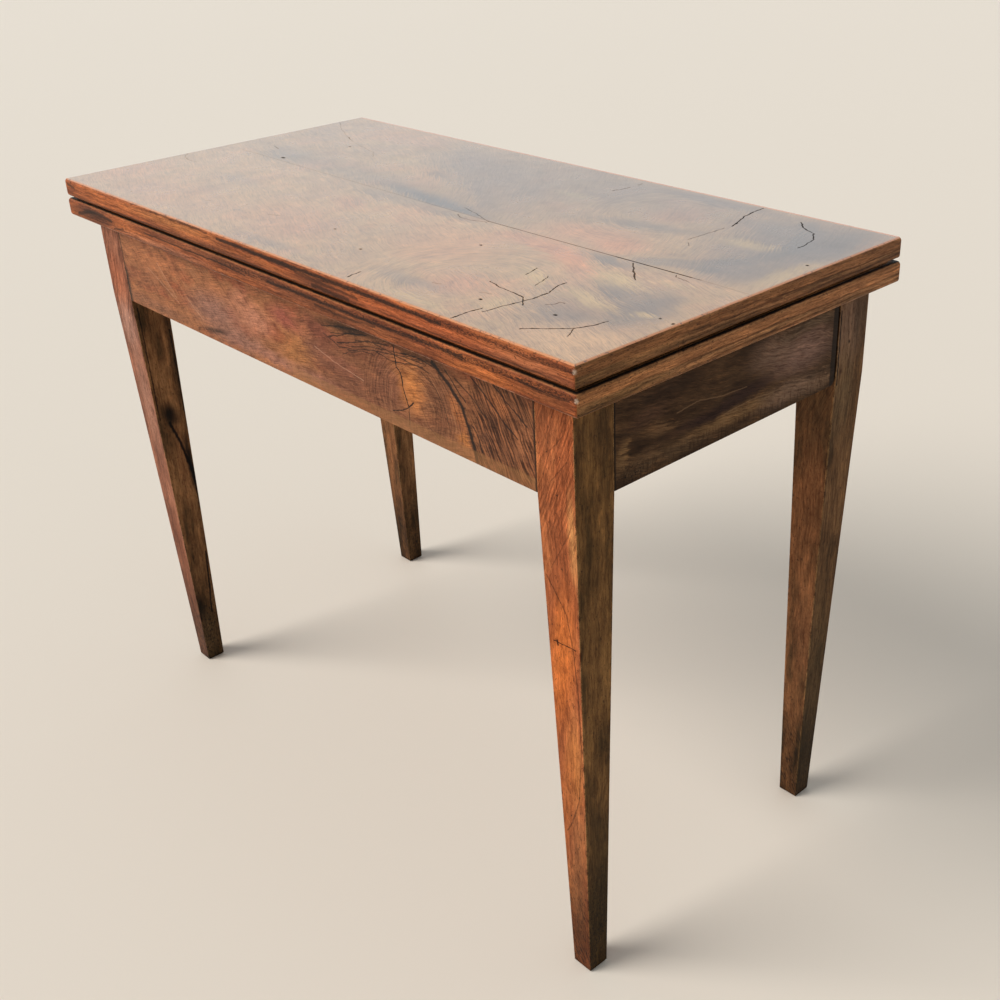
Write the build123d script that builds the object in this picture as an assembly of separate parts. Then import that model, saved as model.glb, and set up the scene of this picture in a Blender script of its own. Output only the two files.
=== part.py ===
from build123d import *
import os

# Folding card table of walnut, closed, with one swinging rear leg.
# Lengths are in millimetres. X runs to the right end, Y to the back and Z up from the floor.

# The top
top_length = 921.0
leaf_width = 457.0
leaf_thickness = 22.0
leaf_gap = 2.8
lower_leaf_reach = 1.5
leaf_corner_radius = 3.0
leaf_arris_radius = 4.0
leaf_veneer_thickness = 1.0
leaf_board_share = 0.6
leaf_veneer_seam_share = 0.49
table_height = 722.0

# The overhang of the leaves past the frame
end_overhang = 27.5
front_overhang = 23.0
back_overhang = 6.5

# The legs
leg_width = 49.0
foot_width = 25.0
foot_ease = 1.5
leg_arris_radius = 0.8

# How far each foot of the old table has moved from under its leg, along X and Y
front_left_foot_lean = (4.5, 3.5)
front_right_foot_lean = (11.0, -6.5)
rear_left_foot_lean = (-3.5, 12.5)
swing_foot_lean = (-3.5, -6.0)

# The rails of the frame
rail_depth = 102.5
rail_thickness = 20.0
veneer_thickness = 1.5
end_rail_corner_radius = 6.0
tenon_end_wall = 21.0
tenon_thickness = 8.0
tenon_setback = 6.0
tenon_shoulder = 10.0
mortise_bottom_clearance = 1.0
housing_depth = 9.0

# The gate: fixed half, swinging half and the knuckle between them
gate_rail_thickness = 24.0
gate_leg_gap = 3.0
gate_top_clearance = 0.5
knuckle_fingers = 5
knuckle_turning_clearance = 0.5
knuckle_finger_clearance = 0.4
knuckle_pin_radius = 3.5
pin_running_clearance = 0.05
pin_end_setback = 2.0
knuckle_x = 0.0

# Blocks and brace inside the frame
spacer_end_setback = 30.0
spacer_length = 84.0
spacer_height_setback = 6.0
brace_width = 58.0
brace_thickness = 20.0
brace_lap = 9.0
fixing_block_length = 64.0
fixing_block_width = 22.0
fixing_block_height = 20.0
corner_block_leg = 24.0
corner_block_setback = 8.0
long_rail_block_shares = (-0.68, -0.36, 0.36, 0.68)
end_rail_block_shares = (-0.4, 0.4)

# Cloth on the inner faces of the leaves
baize_border = 40.0
closing_clearance = 0.1

# Butt hinges on the back edges of the leaves
hinge_inset = 150.0
hinge_length = 64.0
hinge_plate_width = 24.0
hinge_barrel_radius = 3.0
hinge_axis_offset = 0.3
hinge_pin_radius = 1.5
hinge_knuckles = 5
hinge_knuckle_clearance = 0.2
hinge_relief = 0.35
hinge_screw_edge = 8.0
hinge_screw_inset = 10.0
hinge_middle_screw_edge = 16.0

# Wood screws: head radius, shank radius and length
hinge_screw_head_radius = 2.9
hinge_screw_shank_radius = 1.5
hinge_screw_length = 14.0
frame_screw_head_radius = 4.2
frame_screw_shank_radius = 2.2
top_screw_grip = 13.0
rear_screw_grip = 15.0
rear_screw_height_shares = (0.25, 0.75)
screw_clearance = 0.1
screw_tip_clearance = 0.3
slot_width = 0.8
slot_depth = 0.8

cut_overrun = 1.0

# Heights
upper_leaf_z = table_height - leaf_thickness
hinge_axis_z = upper_leaf_z - leaf_gap / 2
lower_leaf_top_z = upper_leaf_z - leaf_gap
frame_top_z = lower_leaf_top_z - leaf_thickness
rail_bottom_z = frame_top_z - rail_depth
gate_top_z = frame_top_z - gate_top_clearance

# Places along Y: the hinge barrels stand behind the leaves, and Y is zero at the middle of both
hinge_stand_off = hinge_axis_offset + hinge_barrel_radius
leaf_front_y = -(leaf_width + hinge_stand_off) / 2
leaf_back_y = leaf_front_y + leaf_width
hinge_axis_y = leaf_back_y + hinge_axis_offset
board_seam_y = leaf_front_y + leaf_width * leaf_board_share
veneer_seam_y = leaf_front_y + leaf_width * leaf_veneer_seam_share
frame_front_y = leaf_front_y + front_overhang
frame_back_y = leaf_back_y - back_overhang
front_leg_inner_y = frame_front_y + leg_width
rear_leg_inner_y = frame_back_y - leg_width
front_rail_inner_y = frame_front_y + rail_thickness
inner_rail_back_y = rear_leg_inner_y - gate_leg_gap
inner_rail_front_y = inner_rail_back_y - rail_thickness
gate_y = frame_back_y - leg_width / 2
gate_front_y = gate_y - gate_rail_thickness / 2
gate_back_y = gate_y + gate_rail_thickness / 2

# Places along X
frame_end_x = top_length / 2 - end_overhang
leg_inner_x = frame_end_x - leg_width
end_rail_inner_x = frame_end_x - rail_thickness
hinge_x = top_length / 2 - hinge_inset


def block(low, high):
    """A box between two opposite corners."""
    size = [b - a for a, b in zip(low, high)]
    middle = [(a + b) / 2 for a, b in zip(low, high)]
    return Pos(*middle) * Box(*size)


def mirrored_block(side, low, high):
    """A box given for the right end, or its mirror image at the left end."""
    if side > 0:
        return block(low, high)
    return block((-high[0], low[1], low[2]), (-low[0], high[1], high[2]))


def upright_cylinder(radius, x, y, low_z, high_z):
    return Pos(x, y, (low_z + high_z) / 2) * Cylinder(radius, high_z - low_z)


def barrel(radius, low_x, high_x):
    """A cylinder along the hinge axis of the leaves."""
    middle = Pos((low_x + high_x) / 2, hinge_axis_y, hinge_axis_z)
    return middle * Rot(0, 90, 0) * Cylinder(radius, high_x - low_x)


def joined(solids):
    """One group that holds separate solids."""
    return Compound(children=list(solids))


# Screws

def wood_screw(head_radius, shank_radius, length):
    """A countersunk screw with its flat head at the origin and its shank down."""
    head_depth = head_radius - shank_radius
    head = Pos(0, 0, -head_depth / 2) * Cone(shank_radius, head_radius, head_depth)
    shank_length = length - head_depth - shank_radius
    shank = Pos(0, 0, -head_depth - shank_length / 2) * Cylinder(shank_radius, shank_length)
    tip = Pos(0, 0, -length + shank_radius / 2) * Cone(0, shank_radius, shank_radius)
    slot = block((-head_radius, -slot_width / 2, -slot_depth), (head_radius, slot_width / 2, slot_depth))
    return head + shank + tip - slot


def screw_hole(head_radius, shank_radius, length):
    """The countersunk hole that such a screw leaves."""
    wide_head = head_radius + screw_clearance
    wide_shank = shank_radius + screw_clearance
    head_depth = wide_head - wide_shank
    hole_length = length + screw_tip_clearance
    head = Pos(0, 0, -head_depth / 2) * Cone(wide_shank, wide_head, head_depth)
    mouth = Pos(0, 0, cut_overrun / 2) * Cylinder(wide_head, cut_overrun)
    shank = Pos(0, 0, -hole_length / 2) * Cylinder(wide_shank, hole_length)
    return head + mouth + shank


def fitted(make, places, head_radius, shank_radius, length):
    """A screw, or its hole, at each of the given places."""
    one = make(head_radius, shank_radius, length)
    return [place * one for place in places]


# The legs

def leg(side_x, y, top_z, foot_lean):
    """A leg that is square beside the rails and tapers on all four faces below them."""
    x = side_x * (frame_end_x - leg_width / 2)
    foot_x = x + foot_lean[0]
    foot_y = y + foot_lean[1]
    square_section = Pos(x, y, rail_bottom_z) * leg_section(leg_width)
    ankle_section = Pos(foot_x, foot_y, foot_ease) * leg_section(foot_width)
    sole_section = Pos(foot_x, foot_y, 0) * leg_section(foot_width - 2 * foot_ease)
    square_part = extrude(square_section, top_z - rail_bottom_z)
    tapered_part = loft([ankle_section, square_section], ruled=True)
    foot = loft([sole_section, ankle_section], ruled=True)
    return square_part + tapered_part + foot


def leg_section(width):
    return RectangleRounded(width, width, leg_arris_radius)


# The rails with their tenons

tenon_length = leg_width - tenon_end_wall
tenon_low_z = rail_bottom_z + tenon_shoulder
tenon_high_z = frame_top_z - tenon_shoulder
mortise_depth = tenon_length + mortise_bottom_clearance
end_tenon_outer_x = frame_end_x - tenon_setback
end_tenon_inner_x = end_tenon_outer_x - tenon_thickness
front_tenon_low_y = frame_front_y + tenon_setback
front_tenon_high_y = front_tenon_low_y + tenon_thickness
gate_tenon_low_y = gate_y - tenon_thickness / 2
gate_tenon_high_y = gate_y + tenon_thickness / 2
housing_low_y = inner_rail_front_y + tenon_setback
housing_high_y = housing_low_y + tenon_thickness


def front_tenon(side, depth):
    """The front rail's tenon, or its mortise, in one front leg."""
    low = (leg_inner_x, front_tenon_low_y, tenon_low_z)
    high = (leg_inner_x + depth, front_tenon_high_y, tenon_high_z)
    return mirrored_block(side, low, high)


def end_front_tenon(side, depth):
    """An end rail's tenon, or its mortise, in the front leg of that end."""
    low = (end_tenon_inner_x, front_leg_inner_y - depth, tenon_low_z)
    high = (end_tenon_outer_x, front_leg_inner_y, tenon_high_z)
    return mirrored_block(side, low, high)


def end_rear_tenon(depth):
    """The left end rail's tenon, or its mortise, in the rear left leg."""
    low = (end_tenon_inner_x, rear_leg_inner_y, tenon_low_z)
    high = (end_tenon_outer_x, rear_leg_inner_y + depth, tenon_high_z)
    return mirrored_block(-1, low, high)


def gate_tenon(side, depth):
    """The tenon, or the mortise, between a rear leg and its half of the gate rail."""
    low = (leg_inner_x, gate_tenon_low_y, tenon_low_z)
    high = (leg_inner_x + depth, gate_tenon_high_y, tenon_high_z)
    return mirrored_block(side, low, high)


def inner_rail_tenon(side, depth):
    """The inner rear rail's tenon, or its housing, in one end rail."""
    low = (end_rail_inner_x, housing_low_y, tenon_low_z)
    high = (end_rail_inner_x + depth, housing_high_y, tenon_high_z)
    return mirrored_block(side, low, high)


def brace(end_reach):
    """The centre brace, with its ends as far into the rails as asked."""
    low = (-brace_width / 2, front_rail_inner_y - end_reach, frame_top_z - brace_thickness)
    high = (brace_width / 2, inner_rail_front_y + end_reach, frame_top_z)
    return block(low, high)


def end_rail_blank(side, low_y, high_y, outer_x, inner_x):
    return mirrored_block(side, (inner_x, low_y, rail_bottom_z), (outer_x, high_y, frame_top_z))


def rounded_free_corner(piece):
    """Round the lower back corner of the end rail that stops short of the swing leg."""
    corner = piece.edges().filter_by(Axis.X).group_by(Axis.Y)[-1].sort_by(Axis.Z)[0]
    return fillet(corner, end_rail_corner_radius)


core_end_x = frame_end_x - veneer_thickness
core_front_y = frame_front_y + veneer_thickness

front_rail_core = block(
    (-leg_inner_x, core_front_y, rail_bottom_z), (leg_inner_x, front_rail_inner_y, frame_top_z)
)
front_rail_veneer = block(
    (-leg_inner_x, frame_front_y, rail_bottom_z), (leg_inner_x, core_front_y, frame_top_z)
)
front_rail = front_rail_core + front_tenon(-1, tenon_length) + front_tenon(1, tenon_length)
front_rail = front_rail - brace(brace_lap)

left_end_core = end_rail_blank(-1, front_leg_inner_y, rear_leg_inner_y, core_end_x, end_rail_inner_x)
left_end_rail = left_end_core + end_front_tenon(-1, tenon_length) + end_rear_tenon(tenon_length)
left_end_rail = left_end_rail - inner_rail_tenon(-1, housing_depth + mortise_bottom_clearance)
left_end_rail_veneer = end_rail_blank(-1, front_leg_inner_y, rear_leg_inner_y, frame_end_x, core_end_x)

right_end_core = end_rail_blank(1, front_leg_inner_y, inner_rail_back_y, core_end_x, end_rail_inner_x)
right_end_rail = rounded_free_corner(right_end_core) + end_front_tenon(1, tenon_length)
right_end_rail = right_end_rail - inner_rail_tenon(1, housing_depth + mortise_bottom_clearance)
right_end_rail_veneer = rounded_free_corner(
    end_rail_blank(1, front_leg_inner_y, inner_rail_back_y, frame_end_x, core_end_x)
)

inner_rear_rail = block(
    (-end_rail_inner_x, inner_rail_front_y, rail_bottom_z), (end_rail_inner_x, inner_rail_back_y, frame_top_z)
)
inner_rear_rail = inner_rear_rail + inner_rail_tenon(-1, housing_depth) + inner_rail_tenon(1, housing_depth)
inner_rear_rail = inner_rear_rail - brace(brace_lap)

centre_brace = brace(brace_lap)

front_leg_y = frame_front_y + leg_width / 2


def front_leg(side, foot_lean):
    mortises = front_tenon(side, mortise_depth) + end_front_tenon(side, mortise_depth)
    return leg(side, front_leg_y, frame_top_z, foot_lean) - mortises


front_left_leg = front_leg(-1, front_left_foot_lean)
front_right_leg = front_leg(1, front_right_foot_lean)
rear_left_leg = leg(-1, gate_y, frame_top_z, rear_left_foot_lean) - end_rear_tenon(mortise_depth)
rear_left_leg = rear_left_leg - gate_tenon(-1, mortise_depth)
swing_leg = leg(1, gate_y, gate_top_z, swing_foot_lean) - gate_tenon(1, mortise_depth)


# The gate rail and its wooden knuckle

knuckle_radius = gate_rail_thickness / 2
socket_radius = knuckle_radius + knuckle_turning_clearance
finger_height = rail_depth / knuckle_fingers
fixed_fingers = range(0, knuckle_fingers, 2)
swinging_fingers = range(1, knuckle_fingers, 2)


def gate_rail(side, reach_x, top_z, own_fingers):
    """One half of the gate rail: rounded fingers round the pin, and sockets for the other half."""
    low = (knuckle_x + side * socket_radius, gate_front_y, rail_bottom_z)
    high = (reach_x, gate_back_y, top_z)
    low_x, high_x = sorted((low[0], high[0]))
    rail = block((low_x, low[1], low[2]), (high_x, high[1], high[2]))
    near_x, far_x = sorted((knuckle_x, low[0]))
    for index in own_fingers:
        low_z = rail_bottom_z + index * finger_height
        high_z = min(low_z + finger_height, top_z)
        if index > 0:
            low_z = low_z + knuckle_finger_clearance / 2
        if index < knuckle_fingers - 1:
            high_z = high_z - knuckle_finger_clearance / 2
        finger = block((near_x, gate_front_y, low_z), (far_x, gate_back_y, high_z))
        rail = rail + finger + upright_cylinder(knuckle_radius, knuckle_x, gate_y, low_z, high_z)
    bore_low_z = rail_bottom_z - cut_overrun
    bore_high_z = frame_top_z + cut_overrun
    bore_radius = knuckle_pin_radius + pin_running_clearance
    return rail - upright_cylinder(bore_radius, knuckle_x, gate_y, bore_low_z, bore_high_z)


fixed_rear_rail = gate_rail(-1, -leg_inner_x, frame_top_z, fixed_fingers) + gate_tenon(-1, tenon_length)
fly_rail = gate_rail(1, leg_inner_x, gate_top_z, swinging_fingers) + gate_tenon(1, tenon_length)
knuckle_pin = upright_cylinder(
    knuckle_pin_radius, knuckle_x, gate_y, rail_bottom_z + pin_end_setback, frame_top_z - pin_end_setback
)


# Blocks inside the frame

def spacer(low_x):
    """A block between the inner rear rail and the fixed half of the gate rail."""
    low = (low_x, inner_rail_back_y, rail_bottom_z + spacer_height_setback)
    high = (low_x + spacer_length, gate_front_y, frame_top_z - spacer_height_setback)
    return block(low, high)


spacer_low_places = (
    -leg_inner_x + spacer_end_setback,
    knuckle_x - socket_radius - spacer_end_setback - spacer_length,
)
spacer_blocks = [spacer(low_x) for low_x in spacer_low_places]

block_bottom_z = frame_top_z - fixing_block_height
front_block_y = front_rail_inner_y + fixing_block_width / 2
rear_block_y = inner_rail_front_y - fixing_block_width / 2
end_block_x = end_rail_inner_x - fixing_block_width / 2
end_rail_middle_y = (front_leg_inner_y + inner_rail_front_y) / 2
end_rail_half_run = (inner_rail_front_y - front_leg_inner_y) / 2


def fixing_block(x, y, along_x, along_y):
    """A glued block in the angle of a rail and the lower leaf."""
    low = (x - along_x / 2, y - along_y / 2, block_bottom_z)
    high = (x + along_x / 2, y + along_y / 2, frame_top_z)
    return block(low, high)


long_block_places = [
    (leg_inner_x * share, y) for share in long_rail_block_shares for y in (front_block_y, rear_block_y)
]
end_block_places = [
    (side * end_block_x, end_rail_middle_y + end_rail_half_run * share)
    for side in (-1, 1)
    for share in end_rail_block_shares
]
fixing_blocks = [fixing_block(x, y, fixing_block_length, fixing_block_width) for x, y in long_block_places]
fixing_blocks += [fixing_block(x, y, fixing_block_width, fixing_block_length) for x, y in end_block_places]


def corner_block(corner_x, corner_y, toward_x, toward_y):
    """A three-cornered block glued upright in an inside corner of the frame."""
    face = make_face(Polyline(
        (corner_x, corner_y),
        (corner_x + toward_x * corner_block_leg, corner_y),
        (corner_x, corner_y + toward_y * corner_block_leg),
        close=True,
    ))
    low_z = rail_bottom_z + corner_block_setback
    high_z = frame_top_z - corner_block_setback
    return extrude(Pos(0, 0, low_z) * face, amount=high_z - low_z, dir=(0, 0, 1))


corner_blocks = []
for side in (-1, 1):
    corner_blocks.append(corner_block(side * leg_inner_x, front_rail_inner_y, -side, 1))
    corner_blocks.append(corner_block(side * end_rail_inner_x, front_leg_inner_y, -side, 1))
    corner_blocks.append(corner_block(side * end_rail_inner_x, inner_rail_front_y, -side, -1))


# Screws through the blocks and the brace up into the lower leaf

pointing_up = Rot(180, 0, 0)
top_screw_places = [Pos(x, y, block_bottom_z) * pointing_up for x, y in long_block_places + end_block_places]
brace_screw_places = [
    Pos(0, y, frame_top_z - brace_thickness) * pointing_up
    for y in (front_rail_inner_y + brace_width / 2, inner_rail_front_y - brace_width / 2)
]
block_screw = (frame_screw_head_radius, frame_screw_shank_radius, fixing_block_height + top_screw_grip)
brace_screw = (frame_screw_head_radius, frame_screw_shank_radius, brace_thickness + top_screw_grip)
top_screws = fitted(wood_screw, top_screw_places, *block_screw)
top_screws += fitted(wood_screw, brace_screw_places, *brace_screw)
top_screw_holes = fitted(screw_hole, top_screw_places, *block_screw)
brace_screw_holes = fitted(screw_hole, brace_screw_places, *brace_screw)

fixing_blocks = [piece - hole for piece, hole in zip(fixing_blocks, top_screw_holes)]
centre_brace = centre_brace - joined(brace_screw_holes)

# Screws from the inner rear rail through the spacers into the fixed half of the gate rail

pointing_back = Rot(90, 0, 0)
rear_screw_length = gate_front_y - inner_rail_front_y + rear_screw_grip
rear_screw_places = [
    Pos(low_x + spacer_length / 2, inner_rail_front_y, rail_bottom_z + rail_depth * share) * pointing_back
    for low_x in spacer_low_places
    for share in rear_screw_height_shares
]
rear_screw = (frame_screw_head_radius, frame_screw_shank_radius, rear_screw_length)
rear_rail_screws = fitted(wood_screw, rear_screw_places, *rear_screw)
rear_screw_holes = joined(fitted(screw_hole, rear_screw_places, *rear_screw))
inner_rear_rail = inner_rear_rail - rear_screw_holes
fixed_rear_rail = fixed_rear_rail - rear_screw_holes
spacer_blocks = [piece - rear_screw_holes for piece in spacer_blocks]


# The leaves

def leaf(low_z, reach):
    """A whole leaf, with rounded front and end arrises that meet in a mitre at the corners."""
    low = (-top_length / 2 - reach, leaf_front_y, low_z)
    high = (top_length / 2 + reach, leaf_back_y, low_z + leaf_thickness)
    whole = block(low, high)
    back_face = whole.faces().sort_by(Axis.Y)[-1]
    back_middles = [edge.center() for edge in back_face.edges()]
    arrises = [
        edge
        for face in whole.faces().filter_by(Plane.XY)
        for edge in face.edges()
        if min((edge.center() - middle).length for middle in back_middles) > leaf_arris_radius
    ]
    return fillet(arrises, leaf_arris_radius)


def eased_corners(whole):
    """The same leaf with its upright front corners just eased."""
    front_corners = whole.edges().filter_by(Axis.Z).group_by(Axis.Y)[0]
    return fillet(front_corners, leaf_corner_radius)


def split_across(piece, seam_y):
    """The front and the back part of a piece, either side of a seam along the table."""
    half_run = top_length / 2 + lower_leaf_reach + cut_overrun
    low = (-half_run, leaf_front_y - cut_overrun, frame_top_z - cut_overrun)
    high = (half_run, seam_y, table_height + cut_overrun)
    front_half = block(low, high)
    return piece & front_half, piece - front_half


def veneer_layer():
    """The space of the top veneer, wide enough to pass the leaf all round."""
    low = (-top_length / 2 - cut_overrun, leaf_front_y - cut_overrun, table_height - leaf_veneer_thickness)
    high = (top_length / 2 + cut_overrun, leaf_back_y + cut_overrun, table_height + cut_overrun)
    return block(low, high)


def baize(side):
    """Cloth glued to the inner face of the upper leaf (side 1) or the lower leaf (side -1)."""
    near_z = hinge_axis_z + side * closing_clearance
    far_z = hinge_axis_z + side * leaf_gap / 2
    low_z, high_z = sorted((near_z, far_z))
    reach_x = top_length / 2 - baize_border
    low = (-reach_x, leaf_front_y + baize_border, low_z)
    high = (reach_x, leaf_back_y - baize_border, high_z)
    return block(low, high)


# The leaf hinges

knuckle_length = hinge_length / hinge_knuckles
lower_knuckles = range(0, hinge_knuckles, 2)
upper_knuckles = range(1, hinge_knuckles, 2)
hinge_centres = (-hinge_x, hinge_x)


def knuckle(centre_x, index, radius, growth):
    """One knuckle of a hinge, longer than its share by the given growth at both ends."""
    low_x = centre_x - hinge_length / 2 + index * knuckle_length
    return barrel(radius, low_x - growth, low_x + knuckle_length + growth)


def hinge_screw_places(side):
    """Where the screws of one leaf's hinge plates stand, heads towards the other leaf."""
    face_z = hinge_axis_z + side * closing_clearance
    half_run = hinge_length / 2 - hinge_screw_inset
    edges = (hinge_screw_edge, hinge_middle_screw_edge, hinge_screw_edge)
    turn = Rot(180, 0, 0) if side > 0 else Rot(0, 0, 0)
    return [
        Pos(centre_x + offset, hinge_axis_y - edge, face_z) * turn
        for centre_x in hinge_centres
        for offset, edge in zip((-half_run, 0, half_run), edges)
    ]


def hinge_plate(centre_x, side, own_knuckles, other_knuckles):
    """One plate of a butt hinge with its share of the barrel."""
    near_z = hinge_axis_z + side * closing_clearance
    far_z = hinge_axis_z + side * leaf_gap / 2
    low_z, high_z = sorted((near_z, far_z))
    low = (centre_x - hinge_length / 2, hinge_axis_y - hinge_plate_width, low_z)
    high = (centre_x + hinge_length / 2, hinge_axis_y, high_z)
    plate = block(low, high)
    for index in own_knuckles:
        plate = plate + knuckle(centre_x, index, hinge_barrel_radius, -hinge_knuckle_clearance / 2)
    for index in other_knuckles:
        relief_radius = hinge_barrel_radius + hinge_relief
        plate = plate - knuckle(centre_x, index, relief_radius, hinge_knuckle_clearance / 2)
    bore_radius = hinge_pin_radius + pin_running_clearance
    half_bore = hinge_length / 2 + cut_overrun
    return plate - barrel(bore_radius, centre_x - half_bore, centre_x + half_bore)


hinge_screw = (hinge_screw_head_radius, hinge_screw_shank_radius, hinge_screw_length)
leaf_parts = {}
for name, side, own, other in (
    ("lower", -1, lower_knuckles, upper_knuckles),
    ("upper", 1, upper_knuckles, lower_knuckles),
):
    places = hinge_screw_places(side)
    holes = joined(fitted(screw_hole, places, *hinge_screw))
    plates = [hinge_plate(centre_x, side, own, other) - holes for centre_x in hinge_centres]
    low_z = frame_top_z if side < 0 else upper_leaf_z
    mitred_leaf = leaf(low_z, lower_leaf_reach if side < 0 else 0)
    whole = eased_corners(mitred_leaf) - holes
    for centre_x in hinge_centres:
        half_groove = hinge_length / 2 + hinge_relief
        groove_radius = hinge_barrel_radius + hinge_relief
        whole = whole - barrel(groove_radius, centre_x - half_groove, centre_x + half_groove)
    if side < 0:
        whole = whole - joined(top_screw_holes + brace_screw_holes)
    else:
        front_veneer, back_veneer = split_across(mitred_leaf & veneer_layer(), veneer_seam_y)
        leaf_parts["upper_leaf_front_veneer"] = front_veneer
        leaf_parts["upper_leaf_back_veneer"] = back_veneer
        whole = whole - veneer_layer()
    front_board, back_board = split_across(whole, board_seam_y)
    leaf_parts[name + "_leaf_front_board"] = front_board
    leaf_parts[name + "_leaf_back_board"] = back_board
    leaf_parts[name + "_baize"] = baize(side)
    leaf_parts[name + "_hinge_plates"] = joined(plates)
    leaf_parts[name + "_hinge_screws"] = joined(fitted(wood_screw, places, *hinge_screw))

hinge_pins = joined(
    barrel(hinge_pin_radius, centre_x - hinge_length / 2, centre_x + hinge_length / 2)
    for centre_x in hinge_centres
)


nodes = {
    "front_left_leg": front_left_leg,
    "front_right_leg": front_right_leg,
    "rear_left_leg": rear_left_leg,
    "swing_leg": swing_leg,
    "front_rail": front_rail,
    "front_rail_veneer": front_rail_veneer,
    "left_end_rail": left_end_rail,
    "left_end_rail_veneer": left_end_rail_veneer,
    "right_end_rail": right_end_rail,
    "right_end_rail_veneer": right_end_rail_veneer,
    "inner_rear_rail": inner_rear_rail,
    "fixed_rear_rail": fixed_rear_rail,
    "fly_rail": fly_rail,
    "knuckle_pin": knuckle_pin,
    "centre_brace": centre_brace,
    "spacer_blocks": joined(spacer_blocks),
    "fixing_blocks": joined(fixing_blocks),
    "corner_blocks": joined(corner_blocks),
    "top_screws": joined(top_screws),
    "rear_rail_screws": joined(rear_rail_screws),
    "hinge_pins": hinge_pins,
}
nodes.update(leaf_parts)

os.makedirs("parts", exist_ok=True)
for name, shape in nodes.items():
    export_step(shape, "parts/" + name + ".step")
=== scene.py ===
import math
import bpy
import bmesh
from mathutils import Matrix, Vector, noise


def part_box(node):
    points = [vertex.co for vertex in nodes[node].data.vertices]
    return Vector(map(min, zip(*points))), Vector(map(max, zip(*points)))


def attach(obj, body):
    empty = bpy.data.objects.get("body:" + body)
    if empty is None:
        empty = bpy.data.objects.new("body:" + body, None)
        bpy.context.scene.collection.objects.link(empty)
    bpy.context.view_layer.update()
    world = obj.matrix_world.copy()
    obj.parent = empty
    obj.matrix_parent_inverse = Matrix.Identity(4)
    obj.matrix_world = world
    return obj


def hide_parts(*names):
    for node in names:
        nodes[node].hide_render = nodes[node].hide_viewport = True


# The look of the folding card table: old walnut, book-matched on top, with worn edges and drying cracks.
# The scene is in metres. Places and sizes inside the materials are in millimetres of the row frame.

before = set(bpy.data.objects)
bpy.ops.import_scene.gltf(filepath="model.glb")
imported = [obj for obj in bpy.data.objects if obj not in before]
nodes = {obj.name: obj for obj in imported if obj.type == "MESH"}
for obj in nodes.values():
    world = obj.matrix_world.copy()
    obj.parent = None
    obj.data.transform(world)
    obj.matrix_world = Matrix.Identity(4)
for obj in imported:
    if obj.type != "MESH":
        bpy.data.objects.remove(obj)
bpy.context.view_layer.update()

# Camera
camera_place = (1.14384, -0.88196, 1.10942)
camera_right = (0.68558, 0.72730, -0.03189)
camera_down = (0.32414, -0.34418, -0.88118)
camera_forward = (-0.65186, 0.59378, -0.47171)
camera_sensor = 36
camera_lens = 46.264
camera_shift = (-0.051775, -0.001381)

# Light and floor
sky_colour = (0.94, 0.98, 1)
sky_fill = 0.4
sky_seen = 1
key_from = (-0.42, -0.66, 0.62)
key_softness = 35
key_power = 2.6
key_colour = (1, 0.97, 0.93)
floor_size = 60
floor_colour = (0.84, 0.76, 0.66)
floor_roughness = 0.6

# The table, in millimetres
metre = 1000
seam_y = -6.2
leaf_low_x = -460.5
leaf_high_x = 460.5
lower_leaf_reach = 1.5
leaf_low_y = -230.15
leaf_high_y = 226.85
upper_leaf_z = 700
lower_leaf_z = 675.2
leaf_thickness = 22
rail_joint_x = 384
end_rail_low_y = -158
end_rail_high_y = 162

# Cloth, in metres
cloth_cell = 0.012
cloth_edge_steps = (0, 0.0004, 0.001, 0.0022)
cloth_rounding = 0.0022
cloth_pressed_share = 0.55
cloth_uneven_share = 0.2
cloth_wave = 0.03

# Values that all materials use
arris_samples = 4
middle = 0.5
light_from = 0.47
line_core_share = 0.3
lift = (2.3, 2.1, 1.9)
shadow = (0.36, 0.28, 0.25)

# Tints
black = (0.004, 0.003, 0.003)
soot = (0.012, 0.008, 0.006)
jet = (0.01, 0.008, 0.007)
blue_black = (0.05, 0.044, 0.05)
straw_wood = (0.62, 0.36, 0.15)
orange_wood = (0.5, 0.15, 0.045)
umber_wood = (0.085, 0.036, 0.019)
slate = (0.062, 0.05, 0.052)
ash = (0.15, 0.1, 0.08)
brown = (0.24, 0.13, 0.072)
tan = (0.36, 0.19, 0.085)
rose = (0.53, 0.21, 0.085)
amber = (0.66, 0.24, 0.085)
straw = (0.56, 0.35, 0.13)
gold = (0.315, 0.124, 0.05)
rust = (0.3, 0.088, 0.036)
blush = (0.48, 0.2, 0.122)
crimson = (0.3, 0.078, 0.052)
mauve = (0.285, 0.138, 0.1)
ochre = (0.37, 0.15, 0.05)
umber = (0.13, 0.052, 0.027)
ember = (0.52, 0.19, 0.052)
fawn = (0.215, 0.12, 0.052)
top_tints = ((0.4, 0.205, 0.088), (0.48, 0.27, 0.11), (0.53, 0.255, 0.108))
front_edge_tints = ((0.21, 0.056, 0.022), (0.34, 0.098, 0.034), (0.46, 0.14, 0.044))
end_edge_tints = ((0.18, 0.09, 0.037), (0.31, 0.148, 0.062), (0.46, 0.215, 0.09))
rail_tints = (rust, gold, (0.385, 0.146, 0.062))
# the end rail tints are darker than the veneer, partly painted shade for the end that faces away from the
# key light
end_rail_tints_with_shade = ((0.042, 0.021, 0.01), (0.082, 0.043, 0.02))
red_walnut = ((0.24, 0.068, 0.025), (0.36, 0.104, 0.038), (0.5, 0.165, 0.058))
pink_walnut = ((0.17, 0.064, 0.037), (0.28, 0.11, 0.064), (0.38, 0.158, 0.092))
rust_walnut = ((0.08, 0.042, 0.018), (0.18, 0.078, 0.032), (0.29, 0.122, 0.05))
# olive, brown and grey walnut are side tints, darker partly as painted shade on the leg faces towards +x
olive_walnut = ((0.075, 0.04, 0.014), (0.15, 0.074, 0.025), (0.27, 0.138, 0.046))
brown_walnut = ((0.06, 0.034, 0.015), (0.165, 0.08, 0.034), (0.28, 0.14, 0.06))
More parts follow.
